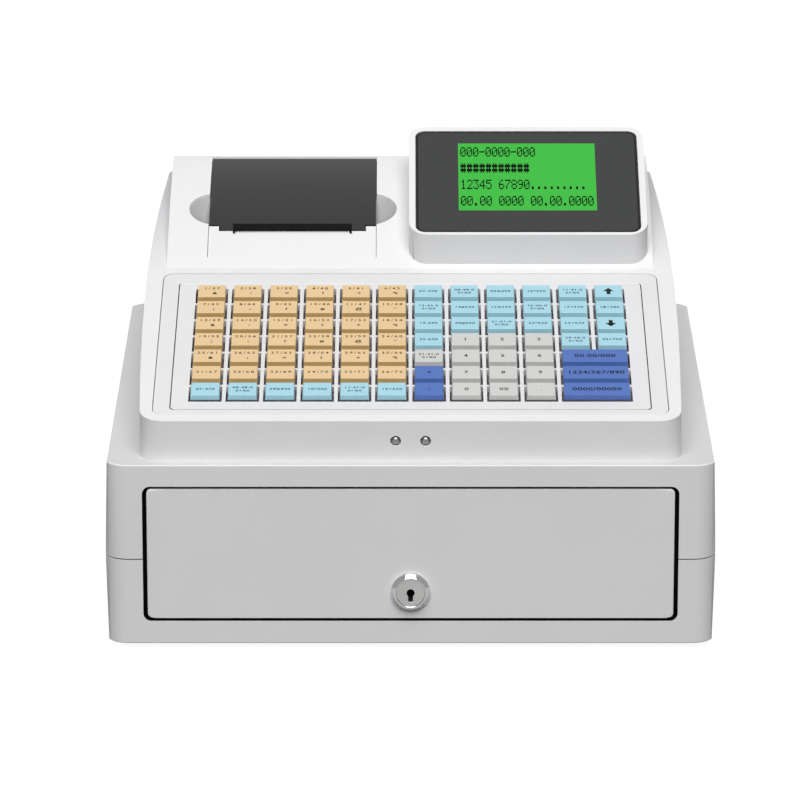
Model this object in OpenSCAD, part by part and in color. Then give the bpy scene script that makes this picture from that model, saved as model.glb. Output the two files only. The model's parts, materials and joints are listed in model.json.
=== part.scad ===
// Ticket register: an electronic cash register on its own cash drawer.
// Frame: millimetres, X to the operator's right, Y to the back, Z up.
// Inside the model, y = 0 is the middle of the drawer housing and z = 0 is its underside;
// place() moves every piece so that the origin lies under the middle of the whole object.

/* [Drawer housing] */
// Width of the housing at its seam
base_w = 311; // [290:1:340]
// Depth of the housing
base_d = 298; // [280:1:330]
// Height of the housing without its feet
base_h = 95.5; // [90:0.5:110]
// Height of the seam between the lower and the upper shell
seam_h = 44.8; // [40:0.1:50]
// Height of the groove along the seam
seam_groove = 0.7; // [0.4:0.1:1.2]
// How much each side leans in from the seam to the top
side_draft = 1.4; // [0:0.1:3]
// Radius of the housing's upright corners
base_corner_r = 12; // [6:0.5:20]
// Wall thickness of all housing and case shells
shell_wall = 2.5; // [2:0.1:3.5]
// Diameter of a rubber foot
foot_dia = 18; // [12:1:24]
// How far a foot stands out of the underside
foot_h = 3; // [2:0.5:6]

/* [Drawer] */
// Width of the drawer opening
opening_w = 272.4; // [250:0.2:276]
// Height of the opening's lower edge
opening_z = 12.2; // [11:0.1:15]
// Height of the drawer opening
opening_h = 71.8; // [66:0.1:74]
// Corner radius of the drawer opening
opening_r = 4; // [2:0.5:6]
// Gap beside the drawer front
front_gap_x = 2.2; // [1:0.1:2.6]
// Gap above and below the drawer front
front_gap_z = 1.5; // [0.6:0.1:1.8]
// Thickness of the drawer front
front_t = 7; // [5:0.5:9]
// How far the opening's inner lip reaches in behind the drawer front
lip_w = 4.2; // [3.6:0.1:4.6]
// Width of the sheet metal drawer box
box_w = 249; // [230:1:249]
// Room behind the drawer box for the latch and the spring
box_rear_gap = 39; // [38:1:60]
// Height of the drawer box
box_h = 58; // [50:1:60]
// Sheet thickness of the drawer box
box_t = 1.5; // [1:0.1:2]
// Diameter of a drawer roller
roller_dia = 13; // [10:0.5:14]
// Width of a drawer roller
roller_w = 5; // [4:0.5:5.5]
// Depth of the coin compartments
coin_len = 70; // [55:1:85]
// Number of coin compartments
coin_cups = 4; // [3:1:5]
// Length of a bill clip from its pivot
clip_len = 58; // [45:1:60]

/* [Lock] */
// Height of the lock's middle above the underside
lock_z = 28.1; // [27:0.1:32]
// Diameter of the lock's rim
lock_rim_dia = 20; // [19:0.5:24]
// How far the rim stands out of the drawer front
lock_proud = 3.5; // [2:0.5:5]
// Diameter of the lock body in the drawer front
lock_body_dia = 18.2; // [17:0.1:18.4]
// Diameter of the turning plug
plug_dia = 14.6; // [12:0.1:15]

/* [Register case] */
// Greatest width of the case
case_w = 280.6; // [270:0.2:290]
// Height of the case's upright front above the housing
case_front_h = 21.27; // [19:0.01:26]
// Slope of the keyboard deck in degrees
deck_slope = 10; // [8:0.5:12]
// Radius of the bowed sides in front of their widest point
bow_front_r = 3200; // [2000:50:4000]
// Radius of the bowed sides behind it
bow_rear_r = 1350; // [1300:50:3200]
// Radius of the case's upright front corners
case_corner_r = 12; // [6:1:16]
// Radius of its upright rear corners
case_rear_r = 4; // [3:0.5:12]
// Gap between the case's rear wall and the housing's rear face
case_rear_gap = 1.5; // [1:0.5:4]

/* [Raised rear part] */
// Width of the raised rear part
hump_w = 260; // [250:1:268]
// Depth of the raised rear part
hump_d = 114.36; // [108:0.02:122]
// Slope of the raised part at its front edge in degrees
hump_slope = 28; // [26:0.5:30]
// Radius of the raised part's curved roof
hump_r = 300; // [290:1:310]
// How far the case's sides rise above the deck's plane at the rear
cheek_rise = 4; // [0:0.5:8]

/* [Keyboard] */
// Distance from one key to the next
key_pitch = 19.05; // [19:0.05:19.3]
// Opening of one key well
well_w = 17.1; // [16.8:0.1:17.4]
// Width of a key cap at its foot
cap_w = 15; // [14.6:0.1:15.2]
// Width of a key cap at its top
cap_top_w = 14.3; // [13.8:0.1:14.5]
// Height of a key cap above the key plate
cap_h = 3; // [2.6:0.1:3.6]
// Travel of a key
key_travel = 2; // [1.5:0.1:2.2]
// Width of the keyboard bezel
bezel_w = 262; // [258:1:264]
// Distance up the slope from the deck's front edge to the bezel
bezel_y0 = 6.85; // [5:0.05:9]
// Width of the bezel in front of the key plate
bezel_front = 6.5; // [5:0.1:8]
// Width of the bezel behind the key plate
bezel_rear = 12.1; // [8:0.1:14]
// Strip of the deck between the bezel and the raised part
deck_rear = 6.5; // [5:0.1:9]
// Thickness of the keyboard bezel
bezel_t = 3; // [2.6:0.1:3.2]
// Width of the key plate between the bezel's edges
plate_w = 244.2; // [240:0.2:246]
// Distance from the key plate's lower edge to the middle of the nearest key row
plate_front = 16.9; // [12:0.1:18]
// Distance from the middle of the farthest key row to the key plate's upper edge
plate_rear = 15.2; // [12:0.1:18]
// Thickness of the key plate
plate_t = 5; // [4.6:0.1:5.2]

/* [Receipt printer] */
// Middle of the printer left of the centre line
printer_offset = 63.3; // [61:0.1:66]
// Width of the smoked paper lid
lid_w = 90; // [86:0.5:92]
// Distance from the lid's rear edge to the rear face of the case
lid_rear_gap = 6.56; // [5:0.02:10]
// Length of the lid from its lip to its rear edge
lid_len = 78.6; // [76:0.1:79]
// Thickness of the lid
lid_t = 2; // [1.6:0.1:2.4]
// Width of the lid's narrower front lip
lip_front_w = 78; // [72:1:80]
// Width of the serrated tear bar
tear_w = 64; // [60:1.6:68.8]
// Pitch of the tear bar's teeth
tooth_pitch = 1.6; // [1.2:0.1:2]
// Diameter of the platen roller
platen_dia = 11; // [10:0.5:11]
// Width of the paper
paper_w = 57; // [56:0.5:57.5]
// Diameter of a full paper roll
roll_dia = 60; // [50:1:60]

/* [Display] */
// Width of the display housing at its foot
display_w = 127.6; // [124:0.2:130]
// Middle of the display right of the centre line
display_offset = 63.3; // [62:0.1:66]
// Height of the display's upright front
display_front_h = 16.34; // [14:0.02:20]
// Length of the display's sloping face
face_len = 94.9; // [90:0.1:96]
// Slope of the display's face in degrees
face_slope = 23; // [20:0.5:26]
// Width of the display window
glass_w = 120.2; // [116:0.2:121]
// Length of the display window up the face
glass_len = 88.6; // [84:0.2:89]

/* [Hidden] */

$fn = 64;
cut = 0.02;            // how far a cutting solid reaches past the face it cuts
fit_gap = 0.3;         // standing gap between neighbouring moulded pieces
shaft_gap = 0.05;      // radial running clearance of a shaft in its bore
seat = 0.4;            // play of a plate in its recess

// ---- places that several pieces share -------------------------------------------------
front_y = -base_d / 2;
rear_y = base_d / 2;
origin_y = lock_proud / 2;
bolt_x = base_w / 2 - 9;
bolt_y = base_d / 2 - 11;
lip_rear_y = front_y + front_t + 3;
box_front_y = front_y + front_t;
box_len = base_d - front_t - box_rear_gap;
box_rear_y = box_front_y + box_len;
box_z = opening_z + lip_w + 1.6;
tray_floor_z = box_z + box_t;
case_rear_y = rear_y - case_rear_gap;
case_front_z = base_h + case_front_h;
bow_y = 2;             // where the case is widest
key_cols = 12;
key_rows = 7;
plate_y0 = bezel_y0 + bezel_front;
row_y0 = plate_y0 + plate_front;      // middle of the nearest key row
plate_len = plate_front + (key_rows - 1) * key_pitch + plate_rear;
bezel_len = bezel_front + plate_len + bezel_rear;
hump_start = bezel_y0 + bezel_len + deck_rear;
hump_y = case_rear_y - hump_d;
case_y = hump_y - hump_start * cos(deck_slope);
hump_z = case_front_z + hump_start * sin(deck_slope);
arc_y = hump_y + hump_r * sin(hump_slope);
arc_z = hump_z - hump_r * cos(hump_slope);
function roof_z(y, below = 0) = arc_z + sqrt(pow(hump_r - below, 2) - pow(arc_y - y, 2));
function deck_z(y) = case_front_z + (y - case_y) * tan(deck_slope);

// ---- small helpers --------------------------------------------------------------------
module place() translate([0, origin_y, foot_h]) children();

// A cylinder along X, centred on (y, z)
module rod_x(x0, x1, y, z, d) translate([x0, y, z]) rotate([0, 90, 0])
    cylinder(h = x1 - x0, d = d, $fn = d > hump_r ? 720 : $fn);

// A cylinder along Y, centred on (x, z)
module rod_y(x, y0, y1, z, d) translate([x, y0, z]) rotate([-90, 0, 0])
    cylinder(h = y1 - y0, d = d);

// A box given by its lowest and highest corner
module block(low, high) translate(low) cube(high - low);

// A plan outline with round corners, centred on the origin
module round_rect(w, l, r) {
    square([w - 2 * r, l], center = true);
    square([w, l - 2 * r], center = true);
    for (sx = [-1, 1], sy = [-1, 1])
        translate([sx * (w / 2 - r), sy * (l / 2 - r)]) circle(r);
}

// Extrudes an outline drawn as (y, z) along X
module side_profile(x0, x1) translate([x0, 0, 0]) rotate([90, 0, 90])
    linear_extrude(x1 - x0) children();

// Extrudes an outline drawn as (x, z) along Y
module front_profile(y0, y1) translate([0, y1, 0]) rotate([90, 0, 0])
    linear_extrude(y1 - y0) children();

// Puts children on the keyboard deck: y runs up the slope, z stands off the deck
module on_deck() translate([0, case_y, case_front_z]) rotate([deck_slope, 0, 0]) children();

// ---- drawer housing -------------------------------------------------------------------
// The housing's outer form between two heights, made smaller all round by inset
module housing_form(z0, z1, inset) intersection() {
    front_profile(front_y + inset, rear_y - inset) polygon([
        [-base_w / 2 + side_draft + inset, 0], [base_w / 2 - side_draft - inset, 0],
        [base_w / 2 - inset, seam_h], [base_w / 2 - side_draft - inset, base_h],
        [-base_w / 2 + side_draft + inset, base_h], [-base_w / 2 + inset, seam_h]]);
    translate([0, 0, z0]) linear_extrude(z1 - z0)
        round_rect(base_w - 2 * inset, base_d - 2 * inset, base_corner_r - inset);
}

// The frame around the drawer opening: a recess for the drawer front and an inner lip
module opening_frame() front_profile(front_y, lip_rear_y) translate([0, opening_z + opening_h / 2])
    round_rect(opening_w + 2 * shell_wall, opening_h + 2 * shell_wall, opening_r + shell_wall);

module opening_cut() translate([0, 0, opening_z + opening_h / 2]) {
    front_profile(front_y - cut, front_y + front_t + fit_gap) round_rect(opening_w, opening_h, opening_r);
    front_profile(front_y, lip_rear_y + cut)
        round_rect(opening_w - 2 * lip_w, opening_h - 2 * lip_w, opening_r);
}

module at_bolts() for (sx = [-1, 1], sy = [-1, 1]) translate([sx * bolt_x, sy * bolt_y, 0]) children();

boss_dia = 8;
screw_dia = 3;
screw_head_dia = 6;
screw_head_h = 2.4;
screw_sink = 3;        // depth of the screw heads' counterbores
foot_x = base_w / 2 - 26;
foot_y = base_d / 2 - 24;
foot_sink = 1;         // how deep a foot sits in the underside
module at_feet() for (sx = [-1, 1], sy = [-1, 1]) translate([sx * foot_x, sy * foot_y, 0]) children();

// Drawer runners: one channel each side, its rib seats and its front glide pad
runner_t = 1.2;
runner_web_x = opening_w / 2 - lip_w + 0.4;
runner_in_x = box_w / 2 + 1.2;
runner_z = box_z - 0.8 - runner_t;
runner_h = roller_dia + 2 * fit_gap + 2 * runner_t;
runner_y0 = lip_rear_y + 3;
runner_y1 = rear_y - shell_wall - 6;
rail_z = runner_z + runner_t + 3.4;   // underside of the drawer's side rail
rail_t = 2;
rib_len = 8;

// Drawer latch
latch_x = 38;
latch_y = rear_y - 9;
latch_z = 23;          // underside of the latch lever
latch_t = 3;
latch_arm = 24;        // distance from the pivot to the hook's far side
latch_swing = 12;      // degrees between released and latched
pivot_dia = 4;
catch_x = 31;          // outer end of the catch on the drawer
catch_y = latch_y - latch_arm + 4;
nose_dia = 5;
nose_arm = 12;         // distance from the pivot to the plunger's line
solenoid_w = 30;
solenoid_size = 20;
solenoid_x = latch_x - 46;
solenoid_z = latch_z + latch_t / 2 - solenoid_size / 2;
spring_x = -60;
spring_z = 32;
spring_pin_dia = 9;
spring_pin_len = 12;

module lower_shell() place() color("gainsboro") difference() {
    union() {
        difference() {
            housing_form(0, seam_h, 0);
            translate([0, 0, shell_wall]) housing_form(0, seam_h, shell_wall);
        }
        intersection() {
            opening_frame();
            housing_form(0, seam_h, 0);
        }
        at_bolts() cylinder(h = seam_h, d = boss_dia);
        for (sx = [-1, 1], y = [runner_y0 + 2, -rib_len / 2, runner_y1 - rib_len - 2])
            block([min(sx * runner_in_x, sx * (runner_web_x + runner_t)), y, shell_wall - cut],
                  [max(sx * runner_in_x, sx * (runner_web_x + runner_t)), y + rib_len, runner_z]);
        block([solenoid_x, latch_y - nose_arm - solenoid_size / 2, shell_wall - cut],
              [solenoid_x + solenoid_w, latch_y - nose_arm + solenoid_size / 2, solenoid_z]);
        translate([latch_x, latch_y, shell_wall - cut]) {
            cylinder(h = latch_z - fit_gap - shell_wall, d = 2 * pivot_dia);
            cylinder(h = latch_z + latch_t + 2 - shell_wall, d = pivot_dia);
        }
        rod_y(spring_x, rear_y - shell_wall - spring_pin_len, rear_y - shell_wall + cut, spring_z,
              spring_pin_dia);
    }
    opening_cut();
    at_bolts() {
        translate([0, 0, -cut]) cylinder(h = seam_h + 2 * cut, d = screw_dia + 4 * shaft_gap);
        translate([0, 0, -cut]) cylinder(h = screw_sink + cut, d = screw_head_dia + 2 * fit_gap);
    }
    at_feet() translate([0, 0, -cut]) cylinder(h = foot_sink + cut, d = foot_dia);
}

board_x0 = 10;
board_x1 = 122;
board_y0 = 50;
board_y1 = case_rear_y - shell_wall - 2;
board_lift = 6.5;      // height of the main board's underside above the housing
board_t = 1.6;
module at_board_posts() for (x = [board_x0 + 6, board_x1 - 6], y = [board_y0 + 6, board_y1 - 24])
    translate([x, y, base_h]) children();

cable_hole = [40, 14];
seam_groove_d = 0.8;   // depth of the groove along the seam
module upper_shell() place() color("gainsboro") difference() {
    union() {
        difference() {
            housing_form(seam_h, base_h, 0);
            housing_form(seam_h - cut, base_h - shell_wall, shell_wall);
        }
        intersection() {
            opening_frame();
            housing_form(seam_h, base_h, 0);
        }
        at_bolts() translate([0, 0, seam_h]) cylinder(h = base_h - shell_wall - seam_h + cut, d = boss_dia);
        at_board_posts() translate([0, 0, -cut]) cylinder(h = board_lift + cut, d = boss_dia - 1);
    }
    opening_cut();
    // groove all round along the seam
    difference() {
        translate([-base_w, -base_d, seam_h - cut]) cube([2 * base_w, 2 * base_d, seam_groove + cut]);
        housing_form(seam_h - 1, seam_h + seam_groove + 1, seam_groove_d);
    }
    at_bolts() translate([0, 0, seam_h - cut]) cylinder(h = 16, d = screw_dia + 2 * shaft_gap);
    translate([-cable_hole[0] / 2, -cable_hole[1] / 2, base_h - shell_wall - cut])
        cube([cable_hole[0], cable_hole[1], shell_wall + 2 * cut]);
}

module rubber_feet() place() color("dimgray") at_feet() translate([0, 0, -foot_h])
    cylinder(h = foot_h + foot_sink, d = foot_dia);

// ---- fasteners ------------------------------------------------------------------------
case_bolt_x = 7.6;     // the two heads in the case front stand this far from the middle
case_bolt_z = base_h + 10.7;
case_bolt_dia = 5.2;
case_bolt_len = 12;
module case_bolt_hole() for (sx = [-1, 1])
    rod_y(sx * case_bolt_x, case_y - 1, case_y + 8, case_bolt_z, case_bolt_dia + fit_gap);

module case_screws() place() color("silver") {
    at_bolts() translate([0, 0, screw_sink - screw_head_h]) {
        cylinder(h = screw_head_h, d = screw_head_dia);
        cylinder(h = seam_h + 12, d = screw_dia);
    }
    for (sx = [-1, 1]) {
        rod_y(sx * case_bolt_x, case_y + 1.6, case_y + case_bolt_len, case_bolt_z, screw_dia);
        translate([sx * case_bolt_x, case_y + 2.6, case_bolt_z]) intersection() {
            sphere(d = case_bolt_dia);
            rotate([90, 0, 0]) cylinder(h = case_bolt_dia, d = case_bolt_dia);
        }
    }
}

// ---- cash drawer ----------------------------------------------------------------------
module drawer_front() place() color("lightgray") difference() {
    front_profile(front_y, front_y + front_t) translate([0, opening_z + opening_h / 2])
        round_rect(opening_w - 2 * front_gap_x, opening_h - 2 * front_gap_z, opening_r - 1.5);
    rod_y(0, front_y - cut, front_y + front_t + cut, lock_z, lock_body_dia + 2 * shaft_gap);
}

cam_t = 2;
cam_r = 16;
cam_y = lip_rear_y + fit_gap;
axle_dia = 3;
roller_y = box_rear_y - 10;
roller_z = runner_z + runner_t + fit_gap + roller_dia / 2;
roller_x = box_w / 2 + 1.8;

module drawer_box() place() color("darkgray") {
    difference() {
        union() {
            difference() {
                block([-box_w / 2, box_front_y, box_z], [box_w / 2, box_rear_y, box_z + box_h]);
                block([-box_w / 2 + box_t, box_front_y + box_t, tray_floor_z],
                      [box_w / 2 - box_t, box_rear_y - box_t, box_z + box_h + cut]);
            }
            for (sx = [-1, 1]) {
                block([min(sx * (box_w / 2 - cut), sx * (runner_web_x - 1)), box_front_y, rail_z],
                      [max(sx * (box_w / 2 - cut), sx * (runner_web_x - 1)), roller_y - roller_dia / 2 - 3,
                       rail_z + rail_t]);
            }
            block([catch_x - 7, box_rear_y - cut, latch_z - 3],
                  [catch_x - 5, catch_y + 2, latch_z + latch_t + 4]);
            block([catch_x - 7, catch_y, latch_z - 3], [catch_x, catch_y + 2, latch_z + latch_t + 4]);
        }
        rod_y(0, box_front_y - cut, cam_y, lock_z, lock_body_dia + 2 * fit_gap);
        block([-cam_r - 1, cam_y - 1, box_z - cut], [6, cam_y + cam_t + 1.5, tray_floor_z + cut]);
    }
    rod_x(-roller_x - roller_w, -box_w / 2 + cut, roller_y, roller_z, axle_dia);
    rod_x(box_w / 2 - cut, roller_x + roller_w, roller_y, roller_z, axle_dia);
}

module drawer_roller(x0) difference() {
    rod_x(x0, x0 + roller_w, roller_y, roller_z, roller_dia);
    rod_x(x0 - cut, x0 + roller_w + cut, roller_y, roller_z, axle_dia + 2 * shaft_gap);
}

module left_roller() place() color("white") drawer_roller(-roller_x - roller_w);
module right_roller() place() color("white") drawer_roller(roller_x);

module drawer_runners() place() color("silver") for (side = [0, 1]) mirror([side, 0, 0]) {
    difference() {
        block([runner_in_x, runner_y0, runner_z], [runner_web_x + runner_t, runner_y1, runner_z + runner_h]);
        block([runner_in_x - cut, runner_y0 - cut, runner_z + runner_t],
              [runner_web_x, runner_y1 + cut, runner_z + runner_h - runner_t]);
    }
    block([runner_in_x, runner_y0, runner_z + runner_t - cut],
          [runner_web_x + cut, runner_y0 + 16, rail_z - fit_gap]);
}

// The removable insert: coin compartments in front, three bill bays behind
tray_w = box_w - 2 * box_t - 1;
tray_y0 = cam_y + cam_t + 3.4;
tray_y1 = box_rear_y - box_t - 0.5;
tray_t = 1.6;
tray_h = box_h - 6;
bill_bays = 3;
clip_y = tray_y1 - 12;
clip_z = tray_floor_z + 42;
clip_w = 14;
clip_rod_dia = 3;
clip_droop = 30;       // degrees a clip hangs below level at rest
bay_w = (tray_w - tray_t) / bill_bays;
cup_w = (tray_w - tray_t) / coin_cups;
coin_wall_y = tray_y0 + tray_t + coin_len;

module cash_tray() place() color("dimgray") difference() {
    block([-tray_w / 2, tray_y0, tray_floor_z], [tray_w / 2, tray_y1, tray_floor_z + tray_h]);
    for (i = [0 : coin_cups - 1])
        block([-tray_w / 2 + tray_t + i * cup_w, tray_y0 + tray_t, tray_floor_z + tray_t],
              [-tray_w / 2 + (i + 1) * cup_w, coin_wall_y, tray_floor_z + tray_h + cut]);
    for (i = [0 : bill_bays - 1])
        block([-tray_w / 2 + tray_t + i * bay_w, coin_wall_y + tray_t, tray_floor_z + tray_t],
              [-tray_w / 2 + (i + 1) * bay_w, tray_y1 - tray_t, tray_floor_z + tray_h + cut]);
    rod_x(-tray_w / 2 + tray_t / 2, tray_w / 2 - tray_t / 2, clip_y, clip_z, clip_rod_dia + 2 * shaft_gap);
}

module clip_rod() place() color("silver")
    rod_x(-tray_w / 2 + tray_t / 2 + shaft_gap, tray_w / 2 - tray_t / 2 - shaft_gap, clip_y, clip_z,
          clip_rod_dia);

// One bill clip: a hub on the rod, an arm and a turned-up tip
module bill_clip(i) place() color("gray")
    translate([-tray_w / 2 + tray_t / 2 + (i - 0.5) * bay_w - clip_w / 2, clip_y, clip_z])
    rotate([clip_droop, 0, 0]) difference() {
        union() {
            rod_x(0, clip_w, 0, 0, 8);
            block([0, -clip_len, -1], [clip_w, 0, 1]);
            rod_x(0, clip_w, -clip_len, 0, 4);
        }
        rod_x(-cut, clip_w + cut, 0, 0, clip_rod_dia + 4 * shaft_gap);
    }
module bill_clip_1() bill_clip(1);
module bill_clip_2() bill_clip(2);
module bill_clip_3() bill_clip(3);

// ---- drawer lock ----------------------------------------------------------------------
lock_face_y = front_y - lock_proud;
plug_face_y = lock_face_y + 0.6;
module lock_housing() place() color("silver") translate([0, 0, lock_z]) rotate([-90, 0, 0])
    rotate_extrude() polygon([
        [plug_dia / 2 + shaft_gap, lock_face_y], [lock_rim_dia / 2 - 2, lock_face_y],
        [lock_rim_dia / 2, lock_face_y + 2], [lock_rim_dia / 2, front_y],
        [lock_body_dia / 2, front_y], [lock_body_dia / 2, lip_rear_y],
        [plug_dia / 2 + shaft_gap, lip_rear_y]]);

keyhole_depth = 8;
keyhole_dia = 4;
keyhole_w = 2.4;
keyhole_len = 4.8;      // from the plug's middle down to the slot's end
module lock_plug() place() color("silver") difference() {
    rod_y(0, plug_face_y, cam_y, lock_z, plug_dia);
    rod_y(0, plug_face_y - cut, plug_face_y + keyhole_depth, lock_z, keyhole_dia);
    block([-keyhole_w / 2, plug_face_y - cut, lock_z - keyhole_len],
          [keyhole_w / 2, plug_face_y + keyhole_depth, lock_z]);
}

// The cam points to the left when the drawer is unlocked and down when it is locked
module lock_cam() place() color("gray") {
    rod_y(0, cam_y, cam_y + cam_t, lock_z, plug_dia - 3);
    block([-cam_r, cam_y, lock_z - 4], [0, cam_y + cam_t, lock_z + 4]);
}

// ---- drawer release -------------------------------------------------------------------
spring_r = 6.2;        // radius of the coil's middle line
spring_wire = 1.5;
spring_turns = 7;
spring_y0 = box_rear_y + spring_wire / 2 + 0.3;
spring_y1 = rear_y - shell_wall - spring_wire / 2 - 0.1;
spring_sides = 8;
spring_steps = 14;     // sections in one turn
module eject_spring() place() color("silver") {
    rings = spring_turns * spring_steps;
    points = [for (i = [0 : rings], k = [0 : spring_sides - 1])
        let (turn = 360 * i / spring_steps, side = 360 * k / spring_sides,
             r = spring_r + spring_wire / 2 * cos(side))
        [spring_x + r * cos(turn), spring_y0 + (spring_y1 - spring_y0) * i / rings
            + spring_wire / 2 * sin(side), spring_z + r * sin(turn)]];
    sides = [for (i = [0 : rings - 1], k = [0 : spring_sides - 1])
        let (a = i * spring_sides + k, b = i * spring_sides + (k + 1) % spring_sides)
        [a, b, b + spring_sides, a + spring_sides]];
    ends = [[for (k = [spring_sides - 1 : -1 : 0]) k],
            [for (k = [0 : spring_sides - 1]) rings * spring_sides + k]];
    polyhedron(points, concat(sides, ends), convexity = 10);
}

module release_solenoid() place() color("steelblue") difference() {
    block([solenoid_x, latch_y - nose_arm - solenoid_size / 2, solenoid_z],
          [solenoid_x + solenoid_w, latch_y - nose_arm + solenoid_size / 2, solenoid_z + solenoid_size]);
    rod_x(solenoid_x + 1, solenoid_x + solenoid_w + cut, latch_y - nose_arm, latch_z + latch_t / 2,
          nose_dia + 2 * shaft_gap);
}

nose_end_x = latch_x - 0.4;
module solenoid_plunger() place() color("silver")
    rod_x(solenoid_x + 4, nose_end_x, latch_y - nose_arm, latch_z + latch_t / 2, nose_dia);

// The lever is drawn latched and turned back by its swing, because it rests released
module latch_lever() place() color("gold") translate([latch_x, latch_y, latch_z]) rotate([0, 0, latch_swing])
    difference() {
        union() {
            cylinder(h = latch_t, d = 10);
            block([-2, -latch_arm, 0], [2, 0, latch_t]);
            block([catch_x - 2 - latch_x, -latch_arm, 0], [2, -latch_arm + 3.6, latch_t]);
        }
        translate([0, 0, -cut]) cylinder(h = latch_t + 2 * cut, d = pivot_dia + 2 * shaft_gap);
    }

// ---- register case --------------------------------------------------------------------
// Plan of the case: two bowed sides between the front and the rear, with round corners
module case_plan(inset) {
    r0 = case_corner_r - inset;
    r1 = case_rear_r - inset;
    y0 = case_y + inset + r0;
    y1 = case_rear_y - inset - r1;
    // half width of the bowed side at a given y
    function side_x(y) = let (r = y < bow_y ? bow_front_r : bow_rear_r)
        case_w / 2 - inset - r + sqrt(r * r - pow(y - bow_y, 2));
    steps = 16;
    right = concat(
        [for (a = [-90 : 15 : 0]) [side_x(y0) - r0 + r0 * cos(a), y0 + r0 * sin(a)]],
        [for (i = [1 : steps - 1]) let (y = y0 + (y1 - y0) * i / steps) [side_x(y), y]],
        [for (a = [0 : 15 : 90]) [side_x(y1) - r1 + r1 * cos(a), y1 + r1 * sin(a)]]);
    left = [for (i = [len(right) - 1 : -1 : 0]) [-right[i][0], right[i][1]]];
    polygon(concat(right, left));
}

// The case below the deck's plane, which rises more steeply beside the raised part
module deck_form(inset) let (drop = inset / cos(deck_slope)) intersection() {
    translate([0, 0, base_h]) linear_extrude(hump_r) case_plan(inset);
    side_profile(-case_w, case_w) polygon([
        [case_y - 1, base_h - 1], [case_y - 1, deck_z(case_y - 1) - drop],
        [hump_y + 1, deck_z(hump_y + 1) - drop], [rear_y + 1, deck_z(rear_y + 1) + cheek_rise - drop],
        [rear_y + 1, base_h - 1]]);
}

// The raised rear part below its curved roof
module hump_form(inset) intersection() {
    rod_x(-hump_w / 2 + inset, hump_w / 2 - inset, arc_y, arc_z, 2 * (hump_r - inset));
    block([-hump_w / 2, hump_y - 30, base_h - 1], [hump_w / 2, case_rear_y - inset, hump_r]);
    translate([0, 0, base_h]) linear_extrude(hump_r) case_plan(inset);
}

// A curved plate that follows the raised part's roof, between two depths below it
module roof_plate(x0, x1, y0, y1, above, below) intersection() {
    difference() {
        rod_x(x0, x1, arc_y, arc_z, 2 * (hump_r + above));
        rod_x(x0 - 1, x1 + 1, arc_y, arc_z, 2 * (hump_r - below));
    }
    block([x0, y0, base_h], [x1, y1, hump_r]);
}

// Printer places
px = -printer_offset;
well_half = lid_w / 2 + fit_gap;
well_y0 = hump_y + 5.1;
well_r = 4;            // radius of the well's front corners
lid_y1 = case_rear_y - lid_rear_gap;
lid_y0 = lid_y1 - lid_len;
well_y1 = lid_y1 + 0.4;
well_depth = 10;
well_t = 2.5;
hinge_r = 2.2;         // radius of the lid's hinge barrel
hinge_y = lid_y1 - hinge_r;
hinge_z = roof_z(hinge_y, hinge_r);
hinge_pin_dia = 2.4;
cover_t = 2.5;
cover_gap = 0.6;       // gap between the cover and the lid's lip, where the paper comes out
cover_drop = 0.4;      // how far the cover lies below the roof's curve
ledge_w = 2.5;         // width of the ledge that carries the cover
scoop_y = lid_y0 + 14.2;
scoop_reach = 10.5;    // how far a scoop reaches out beside the lid
scoop_half_len = 15.4;
scoop_depth = 6.5;
scoop_in = 40.2;       // the floors under the lid stop this far from the printer's middle
scoop_r = (scoop_half_len * scoop_half_len + scoop_depth * scoop_depth) / (2 * scoop_depth);

module at_scoops() for (sx = [-1, 1])
    translate([px + sx * (lid_w / 2 + scoop_reach - scoop_half_len), scoop_y,
        roof_z(scoop_y) + scoop_r - scoop_depth]) children();

module scoop_floor() intersection() {
    at_scoops() sphere(r = scoop_r + 2, $fn = 96);
    roof_plate(px - lid_w / 2 - 20, px + lid_w / 2 + 20, scoop_y - 20, scoop_y + 20, 0, 12);
}

// Places of the rear sockets
socket_w = 16;
socket_h = 13.6;
socket_d = 18;
socket_x = [32, 52, 72];
socket_z = base_h + board_lift + board_t;
inlet_x = -8;
inlet_z = base_h + 17;
inlet_w = 28;
inlet_h = 20;
inlet_d = 20;
switch_x = inlet_x;
switch_z = inlet_z + 24;
switch_w = 20;
switch_h = 13;
switch_tilt = 10;      // degrees the rocker leans at rest

plate_flange = 3.2;    // how far the key plate reaches under the bezel
module deck_slab(w, y0, l, r, top, t) on_deck() translate([0, y0 + l / 2, top - t])
    linear_extrude(t) round_rect(w, l, r);

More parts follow.
